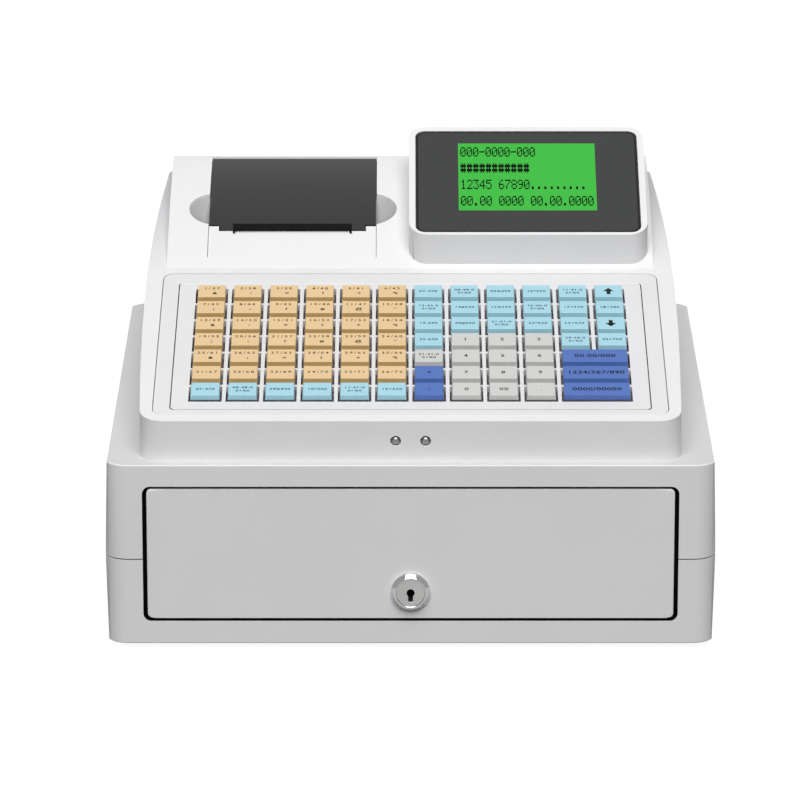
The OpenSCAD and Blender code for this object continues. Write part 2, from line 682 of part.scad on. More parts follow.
module top_case() place() color("white") difference() {
    union() {
        difference() {
            deck_form(0);
            translate([0, 0, -cut]) deck_form(shell_wall);
            hump_form(shell_wall);
        }
        difference() {
            hump_form(0);
            hump_form(shell_wall);
            deck_form(shell_wall);
        }
        intersection() {
            deck_slab(bezel_w + 6, bezel_y0 - 3, bezel_len + 5.4, 7, -1, bezel_t + 2);
            deck_form(0.5);
        }
        roof_plate(px - well_half - well_t, px + well_half + well_t, well_y0 - well_t, well_y1 + well_t,
                   -0.5, well_depth);
        scoop_floor();
        for (sx = [-1, 1])
            rod_y(sx * case_bolt_x, case_y + 1, case_y + case_bolt_len + 1, case_bolt_z, boss_dia + 2);
    }
    // printer well, with a ledge under the fixed cover and the scoops' floors under the lid's edges
    difference() {
        translate([px, 0, hump_z - 30]) linear_extrude(hump_r) {
            translate([0, well_y0 + 30]) round_rect(2 * well_half, 60, well_r);
            translate([-well_half, well_y0 + 30]) square([2 * well_half, well_y1 - well_y0 - 30]);
        }
        for (sx = [-1, 1]) translate([px + sx * (well_half - ledge_w / 2 + 0.5), 0, 0])
            roof_plate(-ledge_w / 2, ledge_w / 2, well_y0 - cut, lid_y0 + lip_len - cover_gap,
                -cover_drop - cover_t, well_depth);
        difference() {
            scoop_floor();
            block([px - scoop_in, scoop_y - 20, base_h], [px + scoop_in, scoop_y + 20, hump_r]);
            roof_plate(px - well_half, px + well_half, scoop_y - 20, scoop_y + 20, 1, lid_t + 2 * fit_gap);
        }
    }
    rod_x(px - well_half - well_t + 0.5, px + well_half + well_t - 0.5, hinge_y, hinge_z,
          hinge_pin_dia + 2 * shaft_gap);
    at_scoops() sphere(r = scoop_r, $fn = 96);
    // keyboard opening
    deck_slab(bezel_w + 2 * seat, bezel_y0 - seat, bezel_len + 2 * seat, 7, 1, bezel_t + 1);
    deck_slab(plate_w + 2 * plate_flange + 2 * seat, plate_y0 - plate_flange - seat,
              plate_len + 2 * plate_flange + 2 * seat, 3, 1, 12);
    case_bolt_hole();
    for (sx = [-1, 1])
        rod_y(sx * case_bolt_x, case_y, case_y + case_bolt_len + 2, case_bolt_z, screw_dia + 2 * shaft_gap);
    // cable hole under the display and the openings of the rear wall
    translate([display_offset, hump_y + 60, hump_z]) cylinder(h = 60, d = 24);
    for (x = socket_x) block([x - socket_w / 2 - fit_gap, case_rear_y - shell_wall - 2, socket_z - fit_gap],
        [x + socket_w / 2 + fit_gap, rear_y + 1, socket_z + socket_h + fit_gap]);
    block([inlet_x - inlet_w / 2 - fit_gap, case_rear_y - shell_wall - 2, inlet_z - inlet_h / 2 - fit_gap],
          [inlet_x + inlet_w / 2 + fit_gap, rear_y + 1, inlet_z + inlet_h / 2 + fit_gap]);
    block([switch_x - switch_w / 2 - fit_gap, case_rear_y - shell_wall - 2, switch_z - switch_h / 2 - 1],
          [switch_x + switch_w / 2 + fit_gap, rear_y + 1, switch_z + switch_h / 2 + 1]);
}

// ---- keyboard -------------------------------------------------------------------------
// Columns count from the left and rows from the rear, both from 0
function key_x(col) = (col - (key_cols - 1) / 2) * key_pitch;
function key_y(row) = row_y0 + (key_rows - 1 - row) * key_pitch;
wide_col = key_cols - 2;
wide_row = key_rows - 3;
function is_wide(col, row) = col >= wide_col && row >= wide_row;

module keyboard_bezel() place() color("white") difference() {
    deck_slab(bezel_w, bezel_y0, bezel_len, 6.7, 0, bezel_t);
    deck_slab(plate_w + 2 * seat, plate_y0 - seat, plate_len + 2 * seat, 2.4, 1, bezel_t + 2);
}

post_dia = 4;
mat_t = 1;
mat_top = key_travel + 6.6;   // depth of the mat's upper face below the deck
key_board_t = 1.6;
module key_plate() place() color("white") {
    difference() {
        union() {
            deck_slab(plate_w, plate_y0, plate_len, 2, 0, plate_t);
            deck_slab(plate_w + 2 * plate_flange, plate_y0 - plate_flange, plate_len + 2 * plate_flange, 3,
                      -bezel_t, plate_t - bezel_t);
        }
        on_deck() for (col = [0 : key_cols - 1], row = [0 : key_rows - 1])
            if (!is_wide(col, row)) translate([key_x(col), key_y(row), -plate_t / 2])
                cube([well_w, well_w, plate_t + 1], center = true);
        on_deck() for (row = [wide_row : key_rows - 1])
            translate([key_x(wide_col) + key_pitch / 2, key_y(row), -plate_t / 2])
                cube([well_w + key_pitch, well_w, plate_t + 1], center = true);
    }
    on_deck() for (sx = [-1, 1], y = [plate_y0 + 8, plate_y0 + plate_len / 2, plate_y0 + plate_len - 8])
        translate([sx * (plate_w / 2 - 3), y, -mat_top - mat_t])
            cylinder(h = mat_top + mat_t - plate_t + cut, d = post_dia);
}

dome_dia = 9;
dome_h = key_travel + 0.1;
module key_mat() place() color("slategray") {
    deck_slab(plate_w - 13, row_y0 - key_pitch / 2, key_rows * key_pitch, 2, -mat_top, mat_t);
    on_deck() for (col = [0 : key_cols - 1], row = [0 : key_rows - 1])
        translate([key_x(col), key_y(row), -mat_top - cut])
            cylinder(h = dome_h + cut, d = dome_dia, $fn = 24);
}

module keyboard_board() place() color("darkgreen")
    deck_slab(plate_w - 0.6, plate_y0 + 1, plate_len - 2, 2, -mat_top - mat_t, key_board_t);

flange_w = 16.4;       // foot flange that guides a key in its well
flange_t = 1.2;
flange_top = 3;        // depth of the flange's upper face below the deck
stem_dia = 5;
cap_shoulder = 0.4;    // height above the deck where the cap begins to taper
// One key that spans a number of columns, its middle on the deck's origin
module key(span) {
    extra = (span - 1) * key_pitch;
    translate([0, 0, -flange_top - flange_t / 2]) cube([flange_w + extra, flange_w, flange_t], center = true);
    translate([-cap_w / 2 - extra / 2, -cap_w / 2, -flange_top - cut])
        cube([cap_w + extra, cap_w, flange_top + cap_shoulder + cut]);
    intersection() {
        front_profile(-cap_w, cap_w) cap_side(extra);
        side_profile(-cap_w - extra, cap_w + extra) cap_side(0);
    }
    translate([0, 0, -mat_top + dome_h + fit_gap])
        cylinder(h = mat_top - dome_h - fit_gap - flange_top - flange_t / 2, d = stem_dia, $fn = 24);
}
module cap_side(extra) polygon([
    [-(cap_w + extra) / 2, cap_shoulder - cut], [(cap_w + extra) / 2, cap_shoulder - cut],
    [(cap_top_w + extra) / 2, cap_h], [-(cap_top_w + extra) / 2, cap_h]]);

// All keys of a block of columns and rows
module keys(cols, rows, tint) place() color(tint) on_deck() for (col = cols, row = rows)
    translate([key_x(col), key_y(row), 0]) key(1);
module wide_key(row) place() color("royalblue") on_deck()
    translate([key_x(wide_col) + key_pitch / 2, key_y(row), 0]) key(2);

left_cols = [0 : 5];
right_cols = [6 : key_cols - 1];
pad_cols = [7 : 9];
module plu_keys_a() keys(left_cols, [0 : 1], "burlywood");
module plu_keys_b() keys(left_cols, [2 : 3], "burlywood");
module plu_keys_c() keys(left_cols, [4 : 5], "burlywood");
module shift_keys() keys(left_cols, [6], "lightblue");
module page_keys_1() keys(right_cols, [0], "lightblue");
module page_keys_2() keys(right_cols, [1], "lightblue");
module page_keys_3() keys(right_cols, [2], "lightblue");
module page_keys_4() keys([6, 10, 11], [3], "lightblue");
module number_keys_1() keys(pad_cols, [3], "lightgray");
module number_keys_2() keys([6 : 9], [4], "lightgray");
module number_keys_3() keys(pad_cols, [5], "lightgray");
module number_keys_4() keys(pad_cols, [6], "lightgray");
module blue_keys() keys([6], [5 : 6], "royalblue");
module upper_total_key() wide_key(4);
module middle_total_key() wide_key(5);
module lower_total_key() wide_key(6);

// ---- receipt printer ------------------------------------------------------------------
platen_y = lid_y0 + 11.6;
platen_z = roof_z(platen_y) - 11.2;
shaft_dia = 4;
ear_x = 32;            // inner face of the lid's ears, from the printer's middle
ear_t = 2;
gear_x = 35.4;         // inner face of the gears, from the printer's middle
gear_w = 4;
gear_module = 0.7;
platen_teeth = 18;
pinion_teeth = 12;
bucket_half = paper_w / 2 + 0.8;
bucket_t = 1.5;
lip_len = 4;           // how far the narrower lip runs out of the lid

module paper_lid() place() color([0.25, 0.25, 0.26, 0.8]) {
    roof_plate(px - lid_w / 2, px + lid_w / 2, lid_y0 + lip_len, hinge_y, 0, lid_t);
    roof_plate(px - lip_front_w / 2, px + lip_front_w / 2, lid_y0, lid_y0 + lip_len + cut, 0, lid_t);
    rod_x(px - lid_w / 2, px + lid_w / 2, hinge_y, hinge_z, 2 * hinge_r);
    rod_x(px - well_half - well_t + 0.8, px + well_half + well_t - 0.8, hinge_y, hinge_z, hinge_pin_dia);
    // ears that carry the platen roller
    for (x = [px - ear_x - ear_t, px + ear_x]) difference() {
        side_profile(x, x + ear_t) polygon([
            [platen_y - 4.5, platen_z - 4], [platen_y + 4.5, platen_z - 4],
            [platen_y + 12, roof_z(platen_y + 12, lid_t) + 0.4],
            [platen_y - 4.5, roof_z(platen_y - 4.5, lid_t) + 0.4]]);
        rod_x(x - cut, x + ear_t + cut, platen_y, platen_z, shaft_dia + 2 * shaft_gap);
    }
}

tear_back = 3.6;       // how far the tear bar lies on the lid's lip
tooth_root = 0.5;      // from the lip's edge to the roots of the teeth
tooth_len = 2.3;       // and to their tips
hook_len = 3.1;
module tear_bar() place() color("black") intersection() {
    roof_plate(px - tear_w, px + tear_w, lid_y0 - 6, lid_y0 + tear_back, 0.9, 0);
    translate([px - tear_w / 2, lid_y0, base_h]) linear_extrude(hump_r) {
        teeth = floor(tear_w / tooth_pitch);
        polygon(concat([[0, tear_back], [0, -tooth_root]],
            [for (i = [0 : teeth - 1], t = [0, 1])
                [(i + t / 2) * tooth_pitch + tooth_pitch / 4, t == 0 ? -tooth_len : -tooth_root]],
            [[tear_w, -tooth_root], [tear_w, tear_back]]));
        for (x = [0, tear_w - 1.2]) translate([x, -hook_len]) square([1.2, hook_len + 1]);
    }
}

module printer_cover() place() color("white") intersection() {
    roof_plate(px - lid_w / 2, px + lid_w / 2, well_y0 + fit_gap, lid_y0 + lip_len - cover_gap,
        -cover_drop, cover_drop + cover_t);
    translate([px, 0, base_h]) linear_extrude(hump_r) difference() {
        translate([0, well_y0 + fit_gap + 40]) round_rect(lid_w, 80, well_r - fit_gap);
        translate([-lip_front_w / 2 - cover_gap, lid_y0 - cover_gap])
            square([lip_front_w + 2 * cover_gap, 80]);
    }
}

module platen_roller() place() color("dimgray") {
    rod_x(px - bucket_half + 0.5, px + bucket_half - 0.5, platen_y, platen_z, platen_dia);
    rod_x(px - gear_x - gear_w, px + ear_x + ear_t + 1, platen_y, platen_z, shaft_dia);
}

// Spur gear blank and teeth in the (y, z) plane; phase turns the first tooth
module gear(teeth, phase, bore, x0) {
    pitch_r = gear_module * teeth / 2;
    root_r = pitch_r - 1.1 * gear_module;
    tip_r = pitch_r + 0.8 * gear_module;
    step = 360 / teeth;
    // half the tooth's angle at the root, the pitch circle and the tip
    half = [step * 0.34, step * 0.205, step * 0.1];
    side_profile(x0, x0 + gear_w) difference() {
        polygon([for (i = [0 : teeth - 1], p = [[-1, 0, root_r], [-1, 1, pitch_r], [-1, 2, tip_r],
                                                [1, 2, tip_r], [1, 1, pitch_r], [1, 0, root_r]])
            let (a = phase + i * step + p[0] * half[p[1]]) p[2] * [cos(a), sin(a)]]);
        circle(d = bore);
    }
}

// The pinion stands on the line along which the platen leaves it when the lid opens
lift_angle = atan2(hinge_y - platen_y, platen_z - hinge_z);
mesh_dist = gear_module * (platen_teeth + pinion_teeth) / 2 + 0.15;
pinion_y = platen_y - mesh_dist * cos(lift_angle);
pinion_z = platen_z - mesh_dist * sin(lift_angle);
module platen_gear() place() color("ivory") translate([0, platen_y, platen_z])
    gear(platen_teeth, lift_angle + 180, shaft_dia, px - gear_x - gear_w);

motor_dia = 20;
motor_len = 15;
motor_shaft_dia = 2;
plate_x = px - gear_x - gear_w - 1.2;   // inner face of the motor's mounting plate
module motor_pinion() place() color("ivory") {
    translate([0, pinion_y, pinion_z])
        gear(pinion_teeth, lift_angle + 180 / pinion_teeth, motor_shaft_dia - 0.5, px - gear_x - gear_w);
    rod_x(plate_x - bucket_t - motor_len + 2, px - gear_x, pinion_y, pinion_z, motor_shaft_dia);
}

module feed_motor() place() color("silver") difference() {
    rod_x(plate_x - bucket_t - motor_len, plate_x - bucket_t, pinion_y, pinion_z, motor_dia);
    rod_x(plate_x - bucket_t - motor_len + 1, plate_x, pinion_y, pinion_z, motor_shaft_dia + 2 * shaft_gap);
}

// Paper bucket with its side walls, the head's beam and the motor's plate
roll_clear = 3.04;     // gap between a full roll and the platen roller
bucket_r = roll_dia / 2 + 2;
bucket_z = base_h + bucket_r + bucket_t + 6;
roll_z = bucket_z - bucket_r + roll_dia / 2 + fit_gap;
roll_y = platen_y + sqrt(pow((roll_dia + platen_dia) / 2 + roll_clear, 2) - pow(platen_z - roll_z, 2));
wall_top_z = platen_z - shaft_dia / 2 - 2;
head_l = 14;
head_t = 5;
head_gap = platen_dia / 2 + 0.3;
beam_half = 4.6;       // half the width of the beam's face behind the head
plate_half = 12;       // half the width of the motor's mounting plate
bucket_x0 = px - bucket_half;
bucket_x1 = px + bucket_half;
module printer_frame() place() color("darkslategray") {
    difference() {
        union() {
            for (x = [bucket_x0 - bucket_t, bucket_x1]) side_profile(x, x + bucket_t) polygon([
                [lid_y0 - 14, base_h], [hinge_y - 4, base_h], [hinge_y - 4, bucket_z + 14],
                [platen_y + 15, bucket_z + 14], [platen_y + 15, wall_top_z], [lid_y0 - 14, wall_top_z]]);
            difference() {
                rod_x(bucket_x0 - cut, bucket_x1 + cut, roll_y, bucket_z, 2 * (bucket_r + bucket_t));
                rod_x(bucket_x0 - 1, bucket_x1 + 1, roll_y, bucket_z, 2 * bucket_r);
                block([bucket_x0 - 1, roll_y - 2 * bucket_r, bucket_z - 6],
                      [bucket_x1 + 1, roll_y + 2 * bucket_r, bucket_z + 2 * bucket_r]);
            }
            side_profile(bucket_x0 - cut, bucket_x1 + cut) polygon([
                [lid_y0 - 12, wall_top_z], head_back(-beam_half), head_back(beam_half),
                [head_back(beam_half)[0], wall_top_z - 14], [lid_y0 - 12, wall_top_z - 14]]);
            translate([plate_x - bucket_t, pinion_y - plate_half, base_h]) {
                cube([bucket_t, 2 * plate_half, pinion_z + 8 - base_h]);
                cube([bucket_x0 - cut - plate_x + bucket_t, 2 * plate_half, 2]);
            }
        }
        rod_x(plate_x - bucket_t - cut, plate_x + cut, pinion_y, pinion_z, motor_shaft_dia + 4 * shaft_gap);
    }
}
// A point on the head's back face, a distance along it from its middle
function head_back(t) = [platen_y - (head_gap + head_t) * sin(45) + t * sin(45),
                         platen_z - (head_gap + head_t) * cos(45) - t * cos(45)];

module print_head() place() color("goldenrod")
    translate([px, platen_y, platen_z]) rotate([-45, 0, 0])
    translate([0, 0, -head_gap - head_t / 2]) cube([paper_w, head_l, head_t], center = true);

core_dia = 12;
module paper_roll() place() color("white") difference() {
    rod_x(px - paper_w / 2, px + paper_w / 2, roll_y, roll_z, roll_dia);
    rod_x(px - paper_w / 2 - cut, px + paper_w / 2 + cut, roll_y, roll_z, core_dia);
}

// ---- display --------------------------------------------------------------------------
display_y = hump_y + 3;
rim_z = roof_z(display_y) + display_front_h;
face_r = 9;            // radius of the face's upper corners
front_r = 10;          // radius of the upright front corners
// Puts children on the display's face: y runs up the face from its lower edge
module on_face() translate([display_offset, display_y, rim_z]) rotate([face_slope, 0, 0]) children();

// The display's outer form, made smaller all round by inset; its back is square to its face
module display_form(inset) let (w = display_w - 2 * inset, far = 2 * face_len) intersection() {
    on_face() translate([0, 0, -far]) linear_extrude(2 * far) union() {
        translate([0, face_len / 2 - inset]) round_rect(w, face_len, face_r - inset);
        translate([-w / 2, -far]) square([w, far + face_len / 2]);
    }
    side_profile(-display_w, 2 * display_w) polygon([
        [display_y + inset, hump_z - 4], [display_y + inset, rim_z + inset * tan(face_slope)],
        [display_y + far * cos(face_slope), rim_z + far * sin(face_slope)],
        [display_y + far * cos(face_slope), hump_z - 4]]);
    // the front corners; this outline is a hair wider than the sides
    translate([display_offset, display_y + inset + far / 2, hump_z - 5]) linear_extrude(2 * far)
        round_rect(w + 2 * cut, far, front_r - inset);
}

glass_t = 2;
glass_r = 5.4;
glass_y = 46.7;        // middle of the window, from the face's lower edge
// Puts children on the back: y runs down it from its upper edge
module on_back() on_face() translate([0, face_len, 0]) rotate([-90, 0, 0]) children();
back_w = 74;
back_h = 12;
back_y = 11;           // middle of the rear window, down from the upper edge
back_t = 1.3;

foot_gap = 0.02;       // the housing's foot stands this far off the curved roof
module display_housing() place() color("white") difference() {
    display_form(0);
    rod_x(-display_w, 2 * display_w, arc_y, arc_z + foot_gap, 2 * hump_r);
    difference() {
        display_form(shell_wall);
        on_face() translate([-display_w, -10, -glass_t - 1.6]) cube([2 * display_w, face_len + 20, 10]);
    }
    on_face() translate([0, glass_y, -glass_t]) linear_extrude(10)
        round_rect(glass_w + 2 * fit_gap, glass_len + 2 * fit_gap, glass_r);
    on_face() translate([0, glass_y, -glass_t - 8]) linear_extrude(12)
        round_rect(glass_w - 8, glass_len - 8, glass_r);
    on_back() translate([0, back_y, -back_t - fit_gap]) linear_extrude(10)
        round_rect(back_w + 2 * fit_gap, back_h + 2 * fit_gap, 2);
}

module display_window() place() color([0.15, 0.15, 0.16]) on_face() translate([0, glass_y, -glass_t])
    linear_extrude(glass_t - fit_gap) round_rect(glass_w, glass_len, glass_r);

lcd_w = 92;
lcd_len = 70;
lcd_t = 7;
lcd_x = 0;             // middle of the panel, from the middle of the face
lcd_y = 51;
module lcd_panel() place() color("limegreen") on_face() translate([lcd_x - lcd_w / 2, lcd_y - lcd_len / 2,
    -glass_t - lcd_t]) cube([lcd_w, lcd_len, lcd_t]);

module customer_window() place() color([0.15, 0.15, 0.16]) on_back() translate([0, back_y, -back_t - fit_gap])
    linear_extrude(back_t) round_rect(back_w, back_h, 2);

// ---- electronics and rear sockets -----------------------------------------------------
module main_board() place() color("green") translate([0, 0, base_h + board_lift]) {
    block([board_x0, board_y0, 0], [board_x1, board_y1, board_t]);
    block([board_x0 + 20, board_y0 + 14, board_t - cut], [board_x0 + 44, board_y0 + 38, board_t + 3]);
    block([board_x0 + 62, board_y0 + 12, board_t - cut], [board_x0 + 78, board_y0 + 40, board_t + 2.4]);
    for (x = [board_x0 + 92, board_x0 + 103])
        translate([x, board_y0 + 22, board_t - cut]) cylinder(h = 11, d = 8);
}

module data_sockets() place() color("silver") for (x = socket_x) difference() {
    block([x - socket_w / 2, case_rear_y - socket_d, socket_z], [x + socket_w / 2, case_rear_y - 0.3,
        socket_z + socket_h]);
    block([x - socket_w / 2 + 2, case_rear_y - 12, socket_z + 2.4], [x + socket_w / 2 - 2, case_rear_y + 1,
        socket_z + socket_h - 2.4]);
}

module power_inlet() place() color("dimgray") {
    difference() {
        block([inlet_x - inlet_w / 2, case_rear_y - inlet_d, inlet_z - inlet_h / 2],
              [inlet_x + inlet_w / 2, case_rear_y + 0.5, inlet_z + inlet_h / 2]);
        block([inlet_x - inlet_w / 2 + 2.5, case_rear_y - inlet_d + 3, inlet_z - inlet_h / 2 + 2.5],
              [inlet_x + inlet_w / 2 - 2.5, case_rear_y + 1, inlet_z + inlet_h / 2 - 2.5]);
    }
    for (p = [[-7, -1.5], [0, 1.5], [7, -1.5]])
        block([inlet_x + p[0] - 1, case_rear_y - inlet_d + 2, inlet_z + p[1] - 2],
              [inlet_x + p[0] + 1, case_rear_y - 6, inlet_z + p[1] + 2]);
}

// The rocker turns in the rear wall and rests with its upper half pressed in
rocker_face = 1.6;     // how far the rocker's face stands behind its axis
module power_switch() place() color("dimgray")
    translate([switch_x, case_rear_y - shell_wall / 2, switch_z]) rotate([switch_tilt, 0, 0]) intersection() {
        block([-switch_w / 2, -4, -switch_h / 2], [switch_w / 2, rocker_face, switch_h / 2]);
        rod_x(-switch_w / 2, switch_w / 2, 0, 0, switch_h + 0.6);
    }

lower_shell();
upper_shell();
top_case();
rubber_feet();
case_screws();
drawer_front();
drawer_box();
cash_tray();
clip_rod();
bill_clip_1();
bill_clip_2();
bill_clip_3();
left_roller();
right_roller();
drawer_runners();
lock_housing();
lock_plug();
lock_cam();
eject_spring();
release_solenoid();
solenoid_plunger();
latch_lever();
keyboard_bezel();
key_plate();
key_mat();
keyboard_board();
plu_keys_a();
plu_keys_b();
plu_keys_c();
shift_keys();
page_keys_1();
page_keys_2();
page_keys_3();
page_keys_4();
number_keys_1();
number_keys_2();
number_keys_3();
number_keys_4();
blue_keys();
upper_total_key();
middle_total_key();
lower_total_key();
paper_lid();
tear_bar();
printer_cover();
printer_frame();
platen_roller();
platen_gear();
motor_pinion();
feed_motor();
print_head();
paper_roll();
display_housing();
display_window();
lcd_panel();
customer_window();
main_board();
data_sockets();
power_inlet();
power_switch();
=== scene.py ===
# %% [markdown]
# # A ticket register on its cash drawer
# The real object is two machines in one: a grey-white housing with a locking cash drawer, and on
# it a white case with a sloped keyboard, a receipt printer and a raised display. The CAD model
# already holds every solid at its true size and place, each moving part on its own body. This
# lesson gives those solids their finish: softened edges, moulded plastic, printed keys, a lit
# display and a chromed lock. Every piece is in metres, in the same frame as the CAD.

# %% Load the CAD model and note its box
import json
import math

import bpy
from mathutils import Matrix, Vector

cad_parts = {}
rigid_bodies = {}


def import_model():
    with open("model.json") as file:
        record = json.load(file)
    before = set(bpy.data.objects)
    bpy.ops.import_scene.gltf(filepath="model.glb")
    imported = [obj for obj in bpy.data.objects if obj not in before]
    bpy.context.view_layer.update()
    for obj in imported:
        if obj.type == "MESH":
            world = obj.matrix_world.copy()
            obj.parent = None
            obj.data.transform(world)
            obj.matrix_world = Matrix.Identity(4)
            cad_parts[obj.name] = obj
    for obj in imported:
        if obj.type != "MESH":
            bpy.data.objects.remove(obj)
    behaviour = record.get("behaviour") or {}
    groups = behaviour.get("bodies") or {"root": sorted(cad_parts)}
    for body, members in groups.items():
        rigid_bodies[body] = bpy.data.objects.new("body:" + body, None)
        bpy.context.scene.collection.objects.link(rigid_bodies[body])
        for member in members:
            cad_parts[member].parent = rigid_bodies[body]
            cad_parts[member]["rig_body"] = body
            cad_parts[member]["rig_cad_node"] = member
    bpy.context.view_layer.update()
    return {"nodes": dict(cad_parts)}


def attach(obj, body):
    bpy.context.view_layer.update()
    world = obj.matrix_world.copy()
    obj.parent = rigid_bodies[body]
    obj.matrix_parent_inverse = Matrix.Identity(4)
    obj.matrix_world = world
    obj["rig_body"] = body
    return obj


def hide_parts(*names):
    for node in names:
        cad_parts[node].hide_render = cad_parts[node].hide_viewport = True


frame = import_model()
nodes = frame["nodes"]
MM = 0.001

# %% [markdown]
# ## The two sloping planes
# Keys and legends sit on the keyboard deck, which rises 10 degrees towards the back, and the
# display faces up at 23 degrees. Modelling on a tilted plane is awkward, so every such piece is
# made flat around the origin and then moved with one of these two matrices. Each has its origin in
# the middle of the plane's front edge.


# %% Places on the deck and on the display's face
def shift(x, y, z=0.0):
    """A move by x, y and z mm, as a matrix."""
    return Matrix.Translation((x * MM, y * MM, z * MM))


def rising(degrees):
    """A tilt that lifts the far side by an angle."""
    return Matrix.Rotation(math.radians(degrees), 4, "X")


DECK = shift(0, -137.75, 120.3) @ rising(10)
FACE = shift(63.3, 37.891, 168.654) @ rising(23)
DECK_UP, FACE_UP = (plane.to_3x3() @ Vector((0, 0, 1)) for plane in (DECK, FACE))
PITCH = 19.05        # from key to key
COLS, ROWS = 12, 7
FRONT_ROW = 27.2     # from the deck's front edge to the middle of the front row


def key_place(col, row):
    """The middle of a key on the flat deck, in mm: columns from the left, rows from the back."""
    return (col - (COLS - 1) / 2) * PITCH, FRONT_ROW + (ROWS - 1 - row) * PITCH


print("first key stands at", key_place(0, 0), "mm on the deck")

# %% [markdown]
# ## Hand tools
# The same few moves return for every piece: make one object active, go into edit mode, pick faces
# by where they lie, and put a finished place into the mesh. An operator acts on all that is
# selected, so each helper deselects everything first.


# %% Selecting and moving
def only(piece):
    """Makes piece the one selected and active object."""
    bpy.ops.object.select_all(action="DESELECT")
    piece.select_set(True)
    bpy.context.view_layer.objects.active = piece


def edit(mode="EDGE"):
    """Goes into edit mode with nothing selected."""
    bpy.ops.object.mode_set(mode="EDIT")
    bpy.ops.mesh.select_mode(type=mode)
    bpy.ops.mesh.select_all(action="DESELECT")


def leave_edit():
    bpy.ops.object.mode_set(mode="OBJECT")


def pick_faces(piece, wanted):
    """In edit mode, selects the faces that pass the test wanted(middle, normal)."""
    leave_edit()
    for face in piece.data.polygons:
        face.select = wanted(face.center, face.normal)
    bpy.ops.object.mode_set(mode="EDIT")


def settle(piece, matrix):
    """Moves piece by matrix and puts that place into its mesh."""
    only(piece)
    piece.matrix_world = matrix @ piece.matrix_world
    bpy.ops.object.transform_apply(location=True, rotation=True, scale=True)


def joined(parts, name):
    """Joins parts into one object called name."""
    only(parts[0])
    for part in parts[1:]:
        part.select_set(True)
    if len(parts) > 1:
        bpy.ops.object.join()
    parts[0].name = parts[0].data.name = name
    return parts[0]


print("hand tools ready")

# %% [markdown]
# ## Rounding what the CAD left sharp
# Injection-moulded shells never have knife edges: the mould needs a radius, and that radius
# catches the light as a thin bright line. The CAD solids are sharp, so a copy of the solid is
# welded, its flat areas are dissolved back to single faces, and chosen edges get a real bevel. A
# shader trick would look similar from one side, but only geometry survives the export. Short tests
# choose the edges and faces. An edge is told by its middle m, its direction d and the normals s of
# the faces on its two sides; a face by its middle m and its normal n. Middles are in metres.

# %% Copying a solid and bevelling its edges
WELD = 3e-5          # vertices closer than this, in metres, become one
EMPTY = 5e-6         # faces narrower than this, in metres, are closed


def soft_copy(node, name, merge=True, bend=0.4):
    """A welded copy of a CAD node; with merge, faces that bend less than an angle become one."""
    piece = nodes[node].copy()
    piece.data = nodes[node].data.copy()
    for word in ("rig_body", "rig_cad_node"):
        del piece[word]
    piece.parent = None
    bpy.context.scene.collection.objects.link(piece)
    piece.name = piece.data.name = name
    only(piece)
    edit()
    bpy.ops.mesh.select_all(action="SELECT")
    bpy.ops.mesh.remove_doubles(threshold=WELD)
    if merge:
        bpy.ops.mesh.dissolve_limited(angle_limit=math.radians(bend))
    leave_edit()
    return piece


def bevel_edges(piece, width, steps, wanted=lambda m, d, s: True, sharper=28, clamp=True):
    """Bevels by width mm each edge that is sharper than an angle and passes the test."""
    only(piece)
    mesh = piece.data
    normals = {}
    for face in mesh.polygons:
        for key in face.edge_keys:
            normals.setdefault(key, []).append(face.normal.copy())
    edit()           # clears the selection
    leave_edit()
    count = 0
    for edge in mesh.edges:
        sides = normals.get(edge.key, [])
        a, b = (mesh.vertices[i].co for i in edge.vertices)
        if len(sides) != 2 or sides[0].angle(sides[1], 0) < math.radians(sharper):
            continue
        if wanted((a + b) / 2, (b - a).normalized(), sides):
            edge.select = True
            count += 1
    bpy.ops.object.mode_set(mode="EDIT")
    bpy.ops.mesh.bevel(offset=width * MM, segments=steps, profile=0.5, clamp_overlap=clamp)
    leave_edit()
    return count


def drop_empty_faces(piece):
    """Closes the faces without width that a bevel leaves where it had no room."""
    only(piece)
    edit()
    bpy.ops.mesh.select_all(action="SELECT")
    bpy.ops.mesh.remove_doubles(threshold=EMPTY)
    bpy.ops.mesh.dissolve_degenerate(threshold=EMPTY)
    leave_edit()


def shade(piece, angle=35):
    """Smooth shading that breaks at sharp edges and keeps broad flat faces flat."""
    only(piece)
    bpy.ops.object.shade_smooth_by_angle(angle=math.radians(angle))
    flat = piece.modifiers.new("flat_faces", "WEIGHTED_NORMAL")
    flat.keep_sharp = True
    bpy.ops.object.modifier_apply(modifier=flat.name)


def mount(piece, body, slot, *stood_for):
    """Puts a finished piece on its body, in place of CAD nodes where it stands for some."""
    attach(piece, body)
    if stood_for:
        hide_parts(*stood_for)


print("CAD nodes:", len(nodes))

# %% [markdown]
# ## Finishes
# Nearly everything outside is moulded ABS. The mould is spark-eroded, so the surface carries a
# grain about half a millimetre wide and a few hundredths deep, which softens every reflection.
# Each finish is built from noise on Object coordinates: one scale for the grain in the normal, a
# broad one for the faint unevenness of colour and gloss. Noise has no seams, which an image has.
# Recesses, seams, scoops, the display's front wall, the shoulders beside the raised part, the
# housing's top ledge, the bezel, the key plate and the keys' sides get darker tones that are
# painted shade, so that they stay apart from the broad pale faces beside them under soft light.


# %% The builder of moulded plastic
def new_finish(name):
    """A material with its principled shader, and a helper that adds and links nodes."""
    finish = bpy.data.materials.new(name)
    finish.use_nodes = True
    tree = finish.node_tree
    shader = tree.nodes["Principled BSDF"]
    place = tree.nodes.new("ShaderNodeTexCoord")

    def node(kind, source=None, into="Vector", **values):
        made = tree.nodes.new("ShaderNode" + kind)
        for key, value in values.items():
            if key in made.inputs:
                made.inputs[key].default_value = value
            else:
                setattr(made, key, value)
        if source is not None:
            tree.links.new(source, made.inputs[into])
        return made

    return finish, tree, shader, place.outputs["Object"], node


